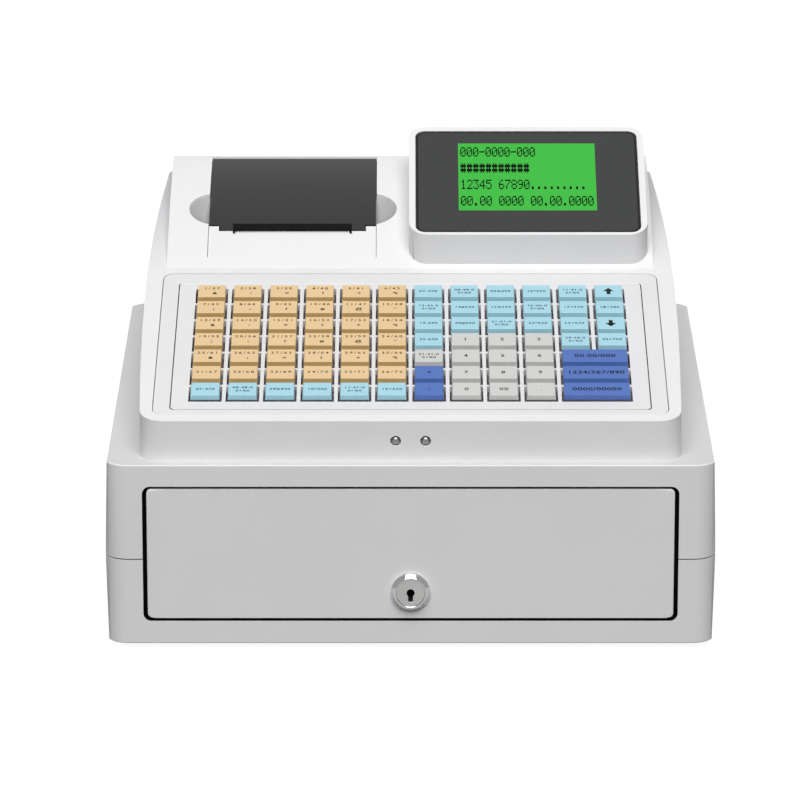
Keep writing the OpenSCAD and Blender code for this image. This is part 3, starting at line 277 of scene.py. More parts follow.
def rgb(code):
    """A colour written as on a screen, such as C9CACC, in linear light."""
    parts = [int(code[i:i + 2], 16) / 255 for i in (0, 2, 4)]
    return [(p / 12.92 if p <= 0.04045 else ((p + 0.055) / 1.055) ** 2.4) for p in parts] + [1]


def uneven(node, tree, shader, where, colour, rough, spread=0.04, scale=14.0, dim=0.93):
    """Faint broad changes: colour down to the share dim of itself, roughness by spread each way."""
    cloud = node("TexNoise", where, Scale=scale, Detail=3.0, Roughness=0.55)
    shift = node("Mix", data_type="RGBA")
    shift.inputs["A"].default_value = [c * dim for c in rgb(colour)[:3]] + [1]
    shift.inputs["B"].default_value = rgb(colour)
    tree.links.new(cloud.outputs["Fac"], shift.inputs["Factor"])
    tree.links.new(shift.outputs["Result"], shader.inputs["Base Color"])
    gloss = node("MapRange", cloud.outputs["Fac"], "Value", **{"From Min": 0.3, "From Max": 0.7,
                 "To Min": rough - spread, "To Max": rough + spread})
    tree.links.new(gloss.outputs["Result"], shader.inputs["Roughness"])


def moulded(name, colour, rough=0.45, grain=0.5, depth=0.03, dim=0.95, shine=0.42):
    """Moulded plastic: grain and depth are the width and height of the mould's texture, in mm."""
    finish, tree, shader, where, node = new_finish(name)
    uneven(node, tree, shader, where, colour, rough, dim=dim)
    pits = node("TexNoise", where, Scale=1 / (grain * MM), Detail=2.0, Roughness=0.6)
    lift = node("Bump", pits.outputs["Fac"], "Height", Strength=0.35, Distance=depth * MM)
    tree.links.new(lift.outputs["Normal"], shader.inputs["Normal"])
    shader.inputs["Specular IOR Level"].default_value = shine
    return finish


housing_grey = moulded("housing_grey_plastic", "E8E8E9", rough=0.55, shine=0.12)
# Painted shade: a darker copy of the housing's grey for the top ledge of the upper shell.
ledge_painted_shade = moulded("ledge_grey_plastic", "D2D2D3", rough=0.55, shine=0.12)
case_white = moulded("case_white_plastic", "E9E9EA", rough=0.45)
# Painted shade: a darker copy of the case's white for the bezel and key plate, for the deck's
# dimmer light.
deck_painted_shade = moulded("deck_white_plastic", "E3E3E4", rough=0.45)
# Painted shade: a darker copy of the white for the display's front wall.
wall_painted_shade = moulded("wall_white_plastic", "D8D8D9", rough=0.45)
# Near black: the tear bar's own colour, and painted shade inside the drawer's opening, in the seams
# round the keyboard and in the keyhole.
black_and_painted_shade = moulded("recess_black_plastic", "0E0E0F", rough=0.6, shine=0.1)
# Painted shade: a grey for the floors of the finger scoops.
scoop_painted_shade = moulded("scoop_grey_plastic", "B4B4B5", rough=0.5)
# Painted shade: a dark grey for the walls of the seam round the printer cover.
seam_painted_shade = moulded("seam_grey_plastic", "7C7C7E", rough=0.6, shine=0.1)
black_plastic = moulded("black_plastic", "2A2B2D", rough=0.4, dim=0.8)
grey_plastic = moulded("grey_clip_plastic", "7C7F82", rough=0.45, dim=0.9)
gear_plastic = moulded("ivory_gear_plastic", "E6E2D4", rough=0.35)


def fading(name, colour, far_colour, start, end):
    """Moulded plastic that fades to another tone between two depths, in mm towards the back."""
    finish = moulded(name, colour)
    tree = finish.node_tree
    shader, place = tree.nodes["Principled BSDF"], tree.nodes["Texture Coordinate"]
    split, ramp, mix = (tree.nodes.new("ShaderNode" + kind)
                        for kind in ("SeparateXYZ", "MapRange", "Mix"))
    tree.links.new(place.outputs["Object"], split.inputs["Vector"])
    tree.links.new(split.outputs["Y"], ramp.inputs["Value"])
    ramp.inputs["From Min"].default_value = start * MM
    ramp.inputs["From Max"].default_value = end * MM
    mix.data_type = "RGBA"
    tree.links.new(ramp.outputs["Result"], mix.inputs["Factor"])
    tree.links.new(shader.inputs["Base Color"].links[0].from_socket, mix.inputs["A"])
    mix.inputs["B"].default_value = rgb(far_colour)
    tree.links.new(mix.outputs["Result"], shader.inputs["Base Color"])
    return finish


# Painted shade: the shoulders beside the raised part fade from white to grey towards the back.
shoulder_painted_shade = fading("shoulder_white_plastic", "E9E9EA", "BEBEC0", 30, 125)


def key_finishes(name, top, side):
    """The pair of finishes of one colour of keys: the printed top, and for the sides a darker copy
    that is painted shade.
    """
    return [moulded(f"{name}_key_{place}_plastic", colour, rough=0.38, grain=0.3, depth=0.015)
            for place, colour in (("top", top), ("side", side))]


# Each side colour is a darker copy of its top colour: painted shade on the caps' sides and fronts.
tan_key = key_finishes("tan", "E7C797", "B99A62")
light_blue_key = key_finishes("light_blue", "A8D7E6", "98C3D0")
grey_key = key_finishes("grey", "D0D0CE", "BCBCBA")
blue_key = key_finishes("blue", "5072BB", "4C6AAE")
key_base = moulded("dark_key_base_plastic", "7A7074", rough=0.5, grain=0.4, dim=0.85)
print("moulded plastics:", len([m for m in bpy.data.materials if "plastic" in m.name]))

# %% [markdown]
# ## Metals
# The drawer box and runners are zinc-plated sheet: grey crystals a few millimetres wide show
# through a thin bright coat. Turned and drawn parts carry fine lines along one way. The lock's rim
# is chromed, so it has almost no texture of its own and lives from what it mirrors.


# %% Zinc, drawn steel and chrome
def metal(name, colour, rough, crystals=0.0, lines=0.0):
    """A metal with crystals (their width in mm) or drawn lines (their spacing in mm)."""
    finish, tree, shader, where, node = new_finish(name)
    shader.inputs["Metallic"].default_value = 1.0
    uneven(node, tree, shader, where, colour, rough, spread=0.06, scale=30.0, dim=0.86)
    if crystals:
        cell = node("TexVoronoi", where, Scale=1 / (crystals * MM))
        grey = node("MapRange", cell.outputs["Distance"], "Value",
                    **{"To Min": rough - 0.08, "To Max": rough + 0.1})
        tree.links.new(grey.outputs["Result"], shader.inputs["Roughness"])
    if lines:
        pull = node("Mapping", where, Scale=(0.03, 1.0, 1.0))
        hair = node("TexNoise", pull.outputs["Vector"], Scale=1 / (lines * MM), Detail=3.0)
        lift = node("Bump", hair.outputs["Fac"], "Height", Strength=0.25, Distance=0.01 * MM)
        tree.links.new(lift.outputs["Normal"], shader.inputs["Normal"])
    return finish


zinc = metal("zinc_plated_sheet", "B9BCBF", 0.36, crystals=3.0)
drawn_steel = metal("drawn_steel", "A9ABAD", 0.3, lines=0.25)
satin_nickel = metal("satin_nickel", "DCDCDA", 0.42)
chrome = metal("polished_chrome", "E2E4E6", 0.08)
print("metals:", zinc.name, drawn_steel.name, chrome.name)

# %% [markdown]
# ## Rubber, paper, boards and the see-through pieces
# The lid over the paper is smoked polycarbonate: dark, glossy and just clear enough to show the
# well behind it. A shader that lets about half of the light through, tinted nearly black, gives
# that. The display lens is printed dark on its back, so it is opaque, under a glossy hard coat.


# %% Rubber and paper
def rubbery(name, colour):
    """Matt rubber with a fine rough skin."""
    finish, tree, shader, where, node = new_finish(name)
    uneven(node, tree, shader, where, colour, 0.78, dim=0.8)
    skin = node("TexNoise", where, Scale=1 / (0.8 * MM), Detail=4.0)
    lift = node("Bump", skin.outputs["Fac"], "Height", Strength=0.5, Distance=0.05 * MM)
    tree.links.new(lift.outputs["Normal"], shader.inputs["Normal"])
    return finish


black_rubber = rubbery("black_rubber", "242426")
grey_rubber = rubbery("grey_mat_rubber", "5E6266")


ROLL_Y, ROLL_Z = 107.887, 136.3    # the roll's axis, in mm


def wound_paper():
    """White paper whose rolled layers show as fine rings about the roll's axis."""
    finish, tree, shader, where, node = new_finish("thermal_paper")
    centred = node("Mapping", where, Location=(0.0, -ROLL_Y * MM, -ROLL_Z * MM))
    rings = node("TexWave", centred.outputs["Vector"], wave_type="RINGS", rings_direction="X",
                 Scale=480.0, Distortion=0.6, Detail=2.0)
    shift = node("Mix", data_type="RGBA")
    shift.inputs["A"].default_value, shift.inputs["B"].default_value = rgb("DEDDD6"), rgb("F7F6F1")
    tree.links.new(rings.outputs["Fac"], shift.inputs["Factor"])
    tree.links.new(shift.outputs["Result"], shader.inputs["Base Color"])
    shader.inputs["Roughness"].default_value = 0.75
    return finish


paper = wound_paper()
print("soft finishes:", black_rubber.name, grey_rubber.name, paper.name)


# %% Boards, lens, lid and lit panel
def board_finish():
    """Green solder mask over a pattern of straight tracks."""
    finish, tree, shader, where, node = new_finish("green_solder_mask")
    tracks = node("TexBrick", where, Scale=90.0,
                  **{"Mortar Size": 0.03, "Brick Width": 0.9, "Row Height": 0.22})
    tracks.inputs["Color1"].default_value = rgb("1F5A34")
    tracks.inputs["Color2"].default_value = rgb("1A4E2D")
    tracks.inputs["Mortar"].default_value = rgb("3E8A55")
    tree.links.new(tracks.outputs["Color"], shader.inputs["Base Color"])
    shader.inputs["Roughness"].default_value = 0.35
    return finish


def glossy(name, colour, rough=0.1, clear=0.0, glow=0.0, coat=0.6):
    """A smooth glossy plastic, see-through by the share clear, or lit by glow."""
    finish, tree, shader, where, node = new_finish(name)
    smear = node("TexNoise", where, Scale=25.0, Detail=3.0)
    gloss = node("MapRange", smear.outputs["Fac"], "Value",
                 **{"To Min": rough, "To Max": rough + 0.08})
    tree.links.new(gloss.outputs["Result"], shader.inputs["Roughness"])
    shader.inputs["Base Color"].default_value = rgb(colour)
    shader.inputs["Coat Weight"].default_value = coat
    shader.inputs["Coat Roughness"].default_value = 0.04
    shader.inputs["Transmission Weight"].default_value = clear
    shader.inputs["Emission Color"].default_value = rgb(colour)
    shader.inputs["Emission Strength"].default_value = glow
    return finish


board_green = board_finish()
smoked = glossy("smoked_polycarbonate", "3A3A3D", rough=0.06, clear=0.5, coat=0.3)
lens_grey = glossy("printed_dark_lens", "343536", rough=0.12, coat=0.3)
lens_edge = glossy("black_lens_edge", "101112", rough=0.12, coat=0.0)
lcd_green = glossy("lit_green_panel", "2A9C2E", rough=0.15, glow=0.45, coat=0.3)
head_ceramic = glossy("glazed_head_ceramic", "C9A45A", rough=0.2)
ink = moulded("dark_key_ink", "19181A", rough=0.6, shine=0.15)
lcd_ink = moulded("dark_liquid_crystal", "071207", rough=0.5, shine=0.1)
print("finishes in all:", len(bpy.data.materials))

# %% [markdown]
# ## Shells with softened edges
# The two housing shells meet at a seam all round. Each has a generous radius where it shows, along
# the top rim and at the foot, and a very small one at the seam and around the drawer opening, so
# the seam reads as one fine shadow line. The rest of each shell keeps its edges. The floor of the
# seam and the inside of the opening are painted black, and the top ledge a darker grey, as painted
# shade.


# %% Helpers for shells
def paint(piece, *finishes):
    """Gives a piece its finishes in place of whatever slots it came with."""
    piece.data.materials.clear()
    for finish in finishes:
        piece.data.materials.append(finish)


def repaint(piece, inside, finish):
    """Gives the faces that pass the test inside(middle, normal) another finish."""
    piece.data.materials.append(finish)
    for face in piece.data.polygons:
        if inside(face.center, face.normal):
            face.material_index = len(piece.data.materials) - 1


def shell(node, body, slot, finish, radii, merge=True, bend=0.4, clean=False):
    """A softened copy of a CAD shell: radii lists what bevel_edges takes after the piece."""
    piece = soft_copy(node, node + "_moulding", merge, bend)
    counts = [bevel_edges(piece, *radius) for radius in radii]
    if clean:
        drop_empty_faces(piece)
    paint(piece, finish)
    shade(piece)
    mount(piece, body, slot, node)
    print(piece.name, "edges rounded:", counts, "faces:", len(piece.data.polygons))
    return piece


def near(value, target, slack=0.3):
    """True where a value in metres lies within slack of a target, both in mm."""
    return abs(value / MM - target) < slack


print("helpers for shells ready")

# %% Housing shells and the drawer's front
HOUSING_TOP, HOUSING_FOOT = 98.5, 3         # heights in mm
SEAM_TOP, SEAM_FOOT = 48.15, 47.8           # upper and lower edge of the seam, in mm
FRONT = -0.146                              # in metres, just behind the housing's front
FINE = (0.25, 2)                            # width in mm and steps of a barely broken edge
OPENING = (0.45, 3)                         # the same around the drawer's opening
BROAD = (28, False)                         # edges over 28 degrees, and no clamp on the width


def on_top_rim(m, d, s):
    """True on the upper shell's outer top edge, and not around the case's seat on it."""
    return near(m.z, HOUSING_TOP) and (abs(m.x) > 0.150 or abs(m.y) > 0.144)


def on_foot_rim(m, d, s):
    """True on the outer rim of the underside, and not at the screw holes near its corners."""
    outside = abs(m.x) > 0.153 or abs(m.y) > 0.1465 or abs(m.x) + abs(m.y - 0.00175) > 0.29
    return near(m.z, HOUSING_FOOT) and outside


def in_recess(m, n):
    """True inside the drawer's opening, behind its rounded edge."""
    return abs(m.x) < 0.1365 and 0.0149 < m.z < 0.0873 and -0.1467 < m.y < -0.137


upper = shell("upper_shell", "register", "housing_grey", housing_grey, [
    (0.8, 4, on_top_rim, *BROAD),
    (*FINE, lambda m, d, s: near(m.z, SEAM_TOP, 0.5)),
    (*OPENING, lambda m, d, s: m.y < FRONT and m.z < 0.09)])
lower = shell("lower_shell", "register", "housing_grey", housing_grey, [
    (0.6, 3, on_foot_rim, *BROAD),
    (*FINE, lambda m, d, s: near(m.z, SEAM_FOOT)),
    (*OPENING, lambda m, d, s: m.y < FRONT and m.z > 0.01)])
# Painted shade: the walls inside the drawer's opening are painted near black.
for piece in (upper, lower):
    repaint(piece, in_recess, black_and_painted_shade)
# Painted shade: the floor of the seam groove is painted black.
repaint(upper, lambda m, n: near(m.z, SEAM_TOP, 0.25) and abs(n.z) < 0.5, black_plastic)
# Painted shade: the level top ledge takes the darker grey.
repaint(upper, lambda m, n: m.z > 0.098 and n.z > 0.95, ledge_painted_shade)
shell("drawer_front", "drawer", "housing_grey", housing_grey, [
    (0.6, 3, lambda m, d, s: m.y < -0.147 and abs(m.x) > 0.011)])

# %% [markdown]
# ## The white case
# The case is one large moulding: an upright front, bowed sides, the sloping deck and the raised
# rear part with its curved roof. The rim between deck and walls is rounded wide enough to draw the
# bright line that runs round the keyboard, and the far edge of the roof has the largest radius of
# all. Fine bevels all over a large moulding leave faces without width here and there. They bend
# the shading of the broad faces beside them, so the case is cleaned of them.

# %% Case, bezel, key plate and printer cover
SHOULDER_UP = Vector((0, -0.206, 0.9785))   # normal of the planes beside the raised part
COVER_UP = Vector((0, -0.42, 0.907))        # normal in the middle of the printer cover
SCOOPS = [Vector((x, 78.29, 184.6)) * MM for x in (-103.4, -23.2)]    # middles of two spheres
SCOOP_RADIUS = 21.5
WINDOW_W, WINDOW_H, WINDOW_Y = 122, 90.4, 46.7    # the window's opening on FACE, in mm


def on_roof_end(m, d, s):
    """True on the edge between the roof and the back wall."""
    return near(m.y, 149.25, 0.8) and m.z > 0.183 and abs(d.x) > 0.9


def on_case_rim(m, d, s):
    """True where a level or sloping top meets a wall, apart from the keyboard's opening."""
    ups = [n.z for n in s]
    return max(ups) > 0.8 and min(ups) < 0.3 and (abs(m.x) > 0.125 or m.y < -0.139)


def on_face_rim(m, d, s):
    """True on the outer edge of the display's face, and not at the window's opening."""
    tilts = [n.angle(FACE_UP) for n in s]
    place = FACE.inverted() @ m
    beyond = max(abs(place.x / MM) - WINDOW_W / 2, abs(place.y / MM - WINDOW_Y) - WINDOW_H / 2)
    return min(tilts) < 0.05 and max(tilts) > 0.8 and beyond > 0.4


def in_scoop(m, n):
    """True on the floors of the two finger scoops, which are parts of spheres."""
    ways = [middle - m for middle in SCOOPS]
    return any(near(way.length, SCOOP_RADIUS, 0.6) and n.dot(way.normalized()) > 0.97
               for way in ways)


case = shell("top_case", "register", "case_white", case_white, [
    (5.0, 6, on_roof_end), (1.2, 4, on_case_rim), (0.4, 2)], bend=0.9, clean=True)
# The bezel and the key plate take the darker copy of the white, as painted shade.
bezel = shell("keyboard_bezel", "register", "case_white", deck_painted_shade, [(0.4, 2)])
plate = shell("key_plate", "register", "case_white", deck_painted_shade, [
    (0.3, 2, lambda m, d, s: max(n.z for n in s) > 0.9)], merge=False)
cover = shell("printer_cover", "register", "case_white", case_white, [(0.35, 2)])
pod = shell("display_housing", "register", "case_white", case_white, [
    (1.8, 4, on_face_rim),
    (0.4, 2, lambda m, d, s: (FACE.inverted() @ m).z > -0.006 or m.z > 0.19)])

# %% Painted shade on scoops, shoulders, seams and the display's front wall
# Painted shade: the floors of the finger scoops are painted grey.
repaint(case, in_scoop, scoop_painted_shade)
# Painted shade: the shoulders beside the raised part take the fading white.
repaint(case, lambda m, n: m.z > 0.145 and n.dot(SHOULDER_UP) > 0.9999, shoulder_painted_shade)
# Painted shade: the display's upright front wall takes the darker white.
repaint(pod, lambda m, n: abs(n.z) < 0.35 and m.z < 0.185, wall_painted_shade)
# Painted shade: the walls of the seams round the keyboard, on bezel and plate, are painted near
# black.
repaint(bezel, lambda m, n: abs(n.x) > 0.5 and abs(m.x) < 0.1232, black_and_painted_shade)
repaint(plate, lambda m, n: abs(n.x) > 0.3 and abs(m.x) > 0.1205, black_and_painted_shade)
# Painted shade: the cover's edge walls are painted dark grey, so the seam round it shows.
repaint(cover, lambda m, n: abs(n.dot(COVER_UP)) < 0.45, seam_painted_shade)
# The counts are of the faces that carry painted shade.
print("faces with a finish of their own:",
      [sum(face.material_index > 0 for face in piece.data.polygons)
       for piece in (case, pod, bezel, plate, cover)])

# %% [markdown]
# ## Keys
# One key is a coloured cap on a dark base. The cap is a block drawn in a little towards its top,
# with round upright corners, a soft rim and a shallow dish for the finger. The base is a body that
# slides in the well, a flange under the plate and a stem that presses the rubber dome. Both are
# modelled once, flat around the origin, and copied to every place on the deck.

# %% One cap and one base
CAP = 15                                 # side of a plain cap, in mm
CAP_FOOT, CAP_TOP, DISH = 0.5, 3.0, 0.1  # heights above the deck and depth of the dish
CAP_DRAFT, CAP_RIM = 0.7, 1.5            # how much the top is smaller, and the rim round the dish
BODY_FOOT, FLANGE_TOP, FLANGE_FOOT = -3.2, -3, -4.2
STEM_R, STEM_LENGTH, STEM_MIDDLE = 2.5, 2.4, -5


def block(across, along, low, high):
    """A block centred on the origin, its sizes and its two heights in mm."""
    bpy.ops.mesh.primitive_cube_add(size=1, location=(0, 0, (low + high) / 2 * MM))
    piece = bpy.context.active_object
    piece.scale = (across * MM, along * MM, (high - low) * MM)
    bpy.ops.object.transform_apply(location=True, scale=True)
    return piece


def on_cap_rim(m, d, s):
    """True where the level rim of the top meets a side."""
    ups = [n.z for n in s]
    return min(ups) < 0.5 and max(ups) > 0.9


def make_cap(width):
    """A key cap, width in mm across, with a shallow dish in its top."""
    cap = block(width, CAP, CAP_FOOT, CAP_TOP)
    edit("FACE")
    pick_faces(cap, lambda m, n: n.z > 0.9)
    bpy.ops.transform.resize(value=((width - CAP_DRAFT) / width, (CAP - CAP_DRAFT) / CAP, 1))
    bpy.ops.mesh.inset(thickness=CAP_RIM * MM)
    bpy.ops.transform.translate(value=(0, 0, -DISH * MM))
    leave_edit()
    bevel_edges(cap, 0.4, 3, lambda m, d, s: abs(d.z) > 0.9)
    bevel_edges(cap, 0.25, 2, on_cap_rim)
    return cap


def make_base(width):
    """The dark body, flange and stem under a cap."""
    body = block(width - 0.4, CAP - 0.4, BODY_FOOT, CAP_FOOT)
    flange = block(width + 1.4, CAP + 1.4, FLANGE_FOOT, FLANGE_TOP)
    bevel_edges(flange, 0.3, 2)
    bpy.ops.mesh.primitive_cylinder_add(vertices=24, radius=STEM_R * MM, depth=STEM_LENGTH * MM,
                                        location=(0, 0, STEM_MIDDLE * MM))
    stem = bpy.context.active_object
    bpy.ops.object.transform_apply(location=True)
    bevel_edges(stem, 0.3, 2)
    return joined([body, flange, stem], "key_base_pattern")


cap_pattern, base_pattern = make_cap(CAP), make_base(CAP)
wide_cap_pattern, wide_base_pattern = make_cap(CAP + PITCH), make_base(CAP + PITCH)
print("cap faces:", len(cap_pattern.data.polygons), "base faces:", len(base_pattern.data.polygons))


# %% Copies for every block of keys
def copy_to(pattern, matrix):
    """A copy of pattern, with its own mesh, moved by matrix."""
    twin = pattern.copy()
    twin.data = pattern.data.copy()
    bpy.context.scene.collection.objects.link(twin)
    twin.data.transform(matrix)
    return twin


def block_of_keys(node, places, slot, finishes, wide=False):
    """Caps and bases of one block of keys, standing for its CAD node."""
    cap, base = (wide_cap_pattern, wide_base_pattern) if wide else (cap_pattern, base_pattern)
    paint(cap, *finishes)
    # The sides of each cap take the darker copy, as painted shade.
    for face in cap.data.polygons:
        face.material_index = int(face.normal.z < 0.5)
    paint(base, key_base)
    spots = [DECK @ shift(x, y) for x, y in places]
    copies = [copy_to(pattern, spot) for pattern in (cap, base) for spot in spots]
    piece = joined(copies, node + "_caps")
    shade(piece, 30)
    mount(piece, node + "_body", slot, node)


LEFT, RIGHT, PAD = range(0, 6), range(6, 12), range(7, 10)
# The columns and rows of each block, its slot and its pair of finishes
BLOCKS = {
    "plu_keys_a": (LEFT, (0, 1), "tan_keys", tan_key),
    "plu_keys_b": (LEFT, (2, 3), "tan_keys", tan_key),
    "plu_keys_c": (LEFT, (4, 5), "tan_keys", tan_key),
    "shift_keys": (LEFT, (6,), "light_blue_keys", light_blue_key),
    "page_keys_1": (RIGHT, (0,), "light_blue_keys", light_blue_key),
    "page_keys_2": (RIGHT, (1,), "light_blue_keys", light_blue_key),
    "page_keys_3": (RIGHT, (2,), "light_blue_keys", light_blue_key),
    "page_keys_4": ((6, 10, 11), (3,), "light_blue_keys", light_blue_key),
    "number_keys_1": (PAD, (3,), "grey_keys", grey_key),
    "number_keys_2": (range(6, 10), (4,), "grey_keys", grey_key),
    "number_keys_3": (PAD, (5,), "grey_keys", grey_key),
    "number_keys_4": (PAD, (6,), "grey_keys", grey_key),
    "blue_keys": ((6,), (5, 6), "blue_keys", blue_key),
}
# The row and the legend of each double-width key
WIDE = {"upper_total_key": (4, "00.00/000"), "middle_total_key": (5, "1234/567/890"),
        "lower_total_key": (6, "0000/00000")}


def wide_place(row):
    """The middle of a double-width key, which covers columns 10 and 11."""
    x, y = key_place(10, row)
    return x + PITCH / 2, y


for node, (cols, rows, slot, finishes) in BLOCKS.items():
    block_of_keys(node, [key_place(c, r) for r in rows for c in cols], slot, finishes)
for node, (row, _) in WIDE.items():
    block_of_keys(node, [wide_place(row)], "blue_keys", blue_key, wide=True)
for pattern in (cap_pattern, base_pattern, wide_cap_pattern, wide_base_pattern):
    bpy.data.objects.remove(pattern)
print("key blocks:", len(BLOCKS) + len(WIDE))

# %% [markdown]
# ## Legends
# The legends are printed, so they have no height to speak of: each is a flat text turned into a
# mesh and laid two hundredths of a millimetre above the dish. Only plain numbers, signs and arrows
# are used. The legends of one block are joined and ride with its keys.

# %% Printing on the keys
PRINT = CAP_TOP - DISH + 0.02    # height of the printing above the deck, in mm
HEAD_R, SHAFT_W, SHAFT_LENGTH = 3.4, 2.0, 3.4    # an arrow's head and shaft, in mm


def printed(text, x, y, size, bold=0.0, spacing=1.15):
    """Flat text of a size in mm on the dish of a key, its middle at x, y mm on the deck."""
    bpy.ops.object.text_add()
    word = bpy.context.active_object
    word.data.body, word.data.size = text, size * MM
    word.data.align_x, word.data.align_y = "CENTER", "CENTER"
    word.data.offset = bold * MM
    word.data.space_character = spacing
    bpy.ops.object.convert(target="MESH")
    word = bpy.context.active_object
    settle(word, DECK @ shift(x, y, PRINT))
    return word


def arrow(x, y, way):
    """A printed arrow that points up the deck for way 1 and down it for way -1."""
    bpy.ops.mesh.primitive_circle_add(vertices=3, radius=HEAD_R * MM, fill_type="NGON",
                                      location=(0, 1.2 * MM, 0))
    head = bpy.context.active_object
    head.scale = (1.0, 0.8, 1.0)
    bpy.ops.mesh.primitive_plane_add(size=1, location=(0, -1.8 * MM, 0))
    shaft = bpy.context.active_object
    shaft.scale = (SHAFT_W * MM, SHAFT_LENGTH * MM, 1)
    for part in (head, shaft):
        only(part)
        bpy.ops.object.transform_apply(location=True, scale=True)
    mark = joined([head, shaft], "arrow")
    if way < 0:
        settle(mark, Matrix.Rotation(math.pi, 4, "Z"))
    settle(mark, DECK @ shift(x, y, PRINT))
    return mark


SIGNS, JOINTS = "*+#=-&%@!?:;", "+-#%*="
THIN = 0.05    # how much the small printing is thickened, in mm
PAD_NUMBERS = {3: ("1", "2", "3"), 4: ("4", "5", "6"), 5: ("7", "8", "9"), 6: ("0", "00", ".")}
ARROWS = {(11, 0): 1, (11, 2): -1}    # column and row of each arrow, and the way it points


def tan_legend(col, row):
    """Two numbers on one line and, but in the front row, a small sign below them."""
    x, y = key_place(col, row)
    first = row * len(LEFT) + col + 1
    if row == 5:
        return [printed(f"{first}/{first + 36}", x, y + 0.4, 3.3, THIN, 1.5)]
    return [printed(f"{first}/{first + 36}", x, y + 3.3, 3.3, THIN, 1.5),
            printed(SIGNS[first * 5 % len(SIGNS)], x + 1.6, y - 2.4, 3.6, 0.12)]


def code_legend(col, row):
    """A function key's numbers with signs between them, on one or two lines."""
    x, y = key_place(col, row)
    number = (row * 6 + col) % 30 + 1
    if (row + col) % 3 == 1:
        return [printed(f"{number:02d}-{number + 30}-0", x, y + 1.7, 2.9, THIN),
                printed("0+%0", x, y - 1.9, 2.9, THIN)]
    return [printed(f"{number:02d}{JOINTS[number % 6]}{number + 40}0", x, y, 3.0, THIN)]


def small_key_legend(col, row, slot):
    """What stands on the key at a column and row, as a list of pieces."""
    x, y = key_place(col, row)
    if slot == "tan_keys":
        return tan_legend(col, row)
    if slot == "grey_keys" and col in PAD:
        return [printed(PAD_NUMBERS[row][PAD.index(col)], x, y, 4.2, 0.08)]
    if slot == "blue_keys":
        return [printed("+" if row == 5 else "-", x, y, 4.4, 0.1)]
    if (col, row) in ARROWS:
        return [arrow(x, y, ARROWS[col, row])]
    return code_legend(col, row)


print("signs in use:", SIGNS)


# %% Legends of every block
def finish_legend(node, words):
    """Joins the printing of one block and lets it ride with the block's keys."""
    legend = joined(words, node + "_legend")
    paint(legend, ink)
    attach(legend, node + "_body")


for node, (cols, rows, slot, _) in BLOCKS.items():
    finish_legend(node, [word for row in rows for col in cols
                         for word in small_key_legend(col, row, slot)])
for node, (row, numbers) in WIDE.items():
    finish_legend(node, [printed(numbers, *wide_place(row), 4.8, 0.1, 1.1)])

# %% [markdown]
# ## The display
# Under the dark lens lies a lit panel of liquid crystal. Its characters are dots in a grid of five
# by seven, so each figure is a small grid whose unlit squares are deleted. A figure is modelled
# once and copied along four lines. The lens keeps a thin black edge where the print stops short of
# the rim.

# %% Lens and lit panel
lens = soft_copy("display_window", "display_lens")
edit("FACE")
pick_faces(lens, lambda m, n: n.dot(FACE_UP) > 0.98)
bpy.ops.mesh.inset(thickness=1.3 * MM)
paint(lens, lens_edge, lens_grey)
leave_edit()
for face in lens.data.polygons:
    face.material_index = int(face.select)
bevel_edges(lens, 0.25, 2)
shade(lens)
mount(lens, "register", "dark_glass", "display_window")

SCREEN_X, SCREEN_Y, SCREEN_W, SCREEN_H = 0.02, 50.85, 74.3, 59.0    # middle and size on FACE
SCREEN_Z, SCREEN_T, DOTS_Z = -0.35, 0.3, -0.17                      # all in mm
bpy.ops.mesh.primitive_cube_add(size=1)
screen = bpy.context.active_object
screen.name = screen.data.name = "lit_screen"
screen.scale = (SCREEN_W * MM, SCREEN_H * MM, SCREEN_T * MM)
bpy.ops.object.transform_apply(scale=True)
bevel_edges(screen, 0.06, 1)
paint(screen, lcd_green)
settle(screen, FACE @ shift(SCREEN_X, SCREEN_Y, SCREEN_Z))
mount(screen, "register", "lcd_green")
print("screen:", SCREEN_W, "x", SCREEN_H, "mm")

# %% Figures made of dots
# Seven rows for each figure, from the top; the five bits of a number are the dots of its row
DOTS = {
    "0": (14, 17, 19, 21, 25, 17, 14), "1": (4, 12, 4, 4, 4, 4, 14), "2": (14, 17, 1, 2, 4, 8, 31),
    "3": (31, 2, 4, 2, 1, 17, 14), "4": (2, 6, 10, 18, 31, 2, 2), "5": (31, 16, 30, 1, 1, 17, 14),
    "6": (6, 8, 16, 30, 17, 17, 14), "7": (31, 1, 2, 4, 8, 8, 8), "8": (14, 17, 17, 14, 17, 17, 14),
    "9": (14, 17, 17, 15, 1, 2, 12), ".": (0, 0, 0, 0, 0, 12, 12), "-": (0, 0, 0, 31, 0, 0, 0),
    "#": (10, 31, 31, 10, 31, 31, 10)}
DOT_COLS, DOT_ROWS, DOT_W, DOT_H = 5, 7, 0.6, 1.2
FIGURE_PITCH, LINE_PITCH = 3.42, 14.4
MARGIN_X, MARGIN_Y = 2.7, 7.6    # from the screen's top left corner to the first figure's middle


def figure(sign):
    """One character: a 5 by 7 grid without its unlit squares."""
    bpy.ops.mesh.primitive_grid_add(x_subdivisions=DOT_COLS, y_subdivisions=DOT_ROWS, size=1)
    grid = bpy.context.active_object
    grid.scale = (DOT_COLS * DOT_W * MM, DOT_ROWS * DOT_H * MM, 1)
    bpy.ops.object.transform_apply(scale=True)

    def unlit(m, n):
        col = round(m.x / MM / DOT_W + DOT_COLS // 2)
        row = round(DOT_ROWS // 2 - m.y / MM / DOT_H)
        return not DOTS[sign][row] >> (DOT_COLS - 1 - col) & 1

    edit("FACE")
    pick_faces(grid, unlit)
    bpy.ops.mesh.delete(type="FACE")
    leave_edit()
    return grid


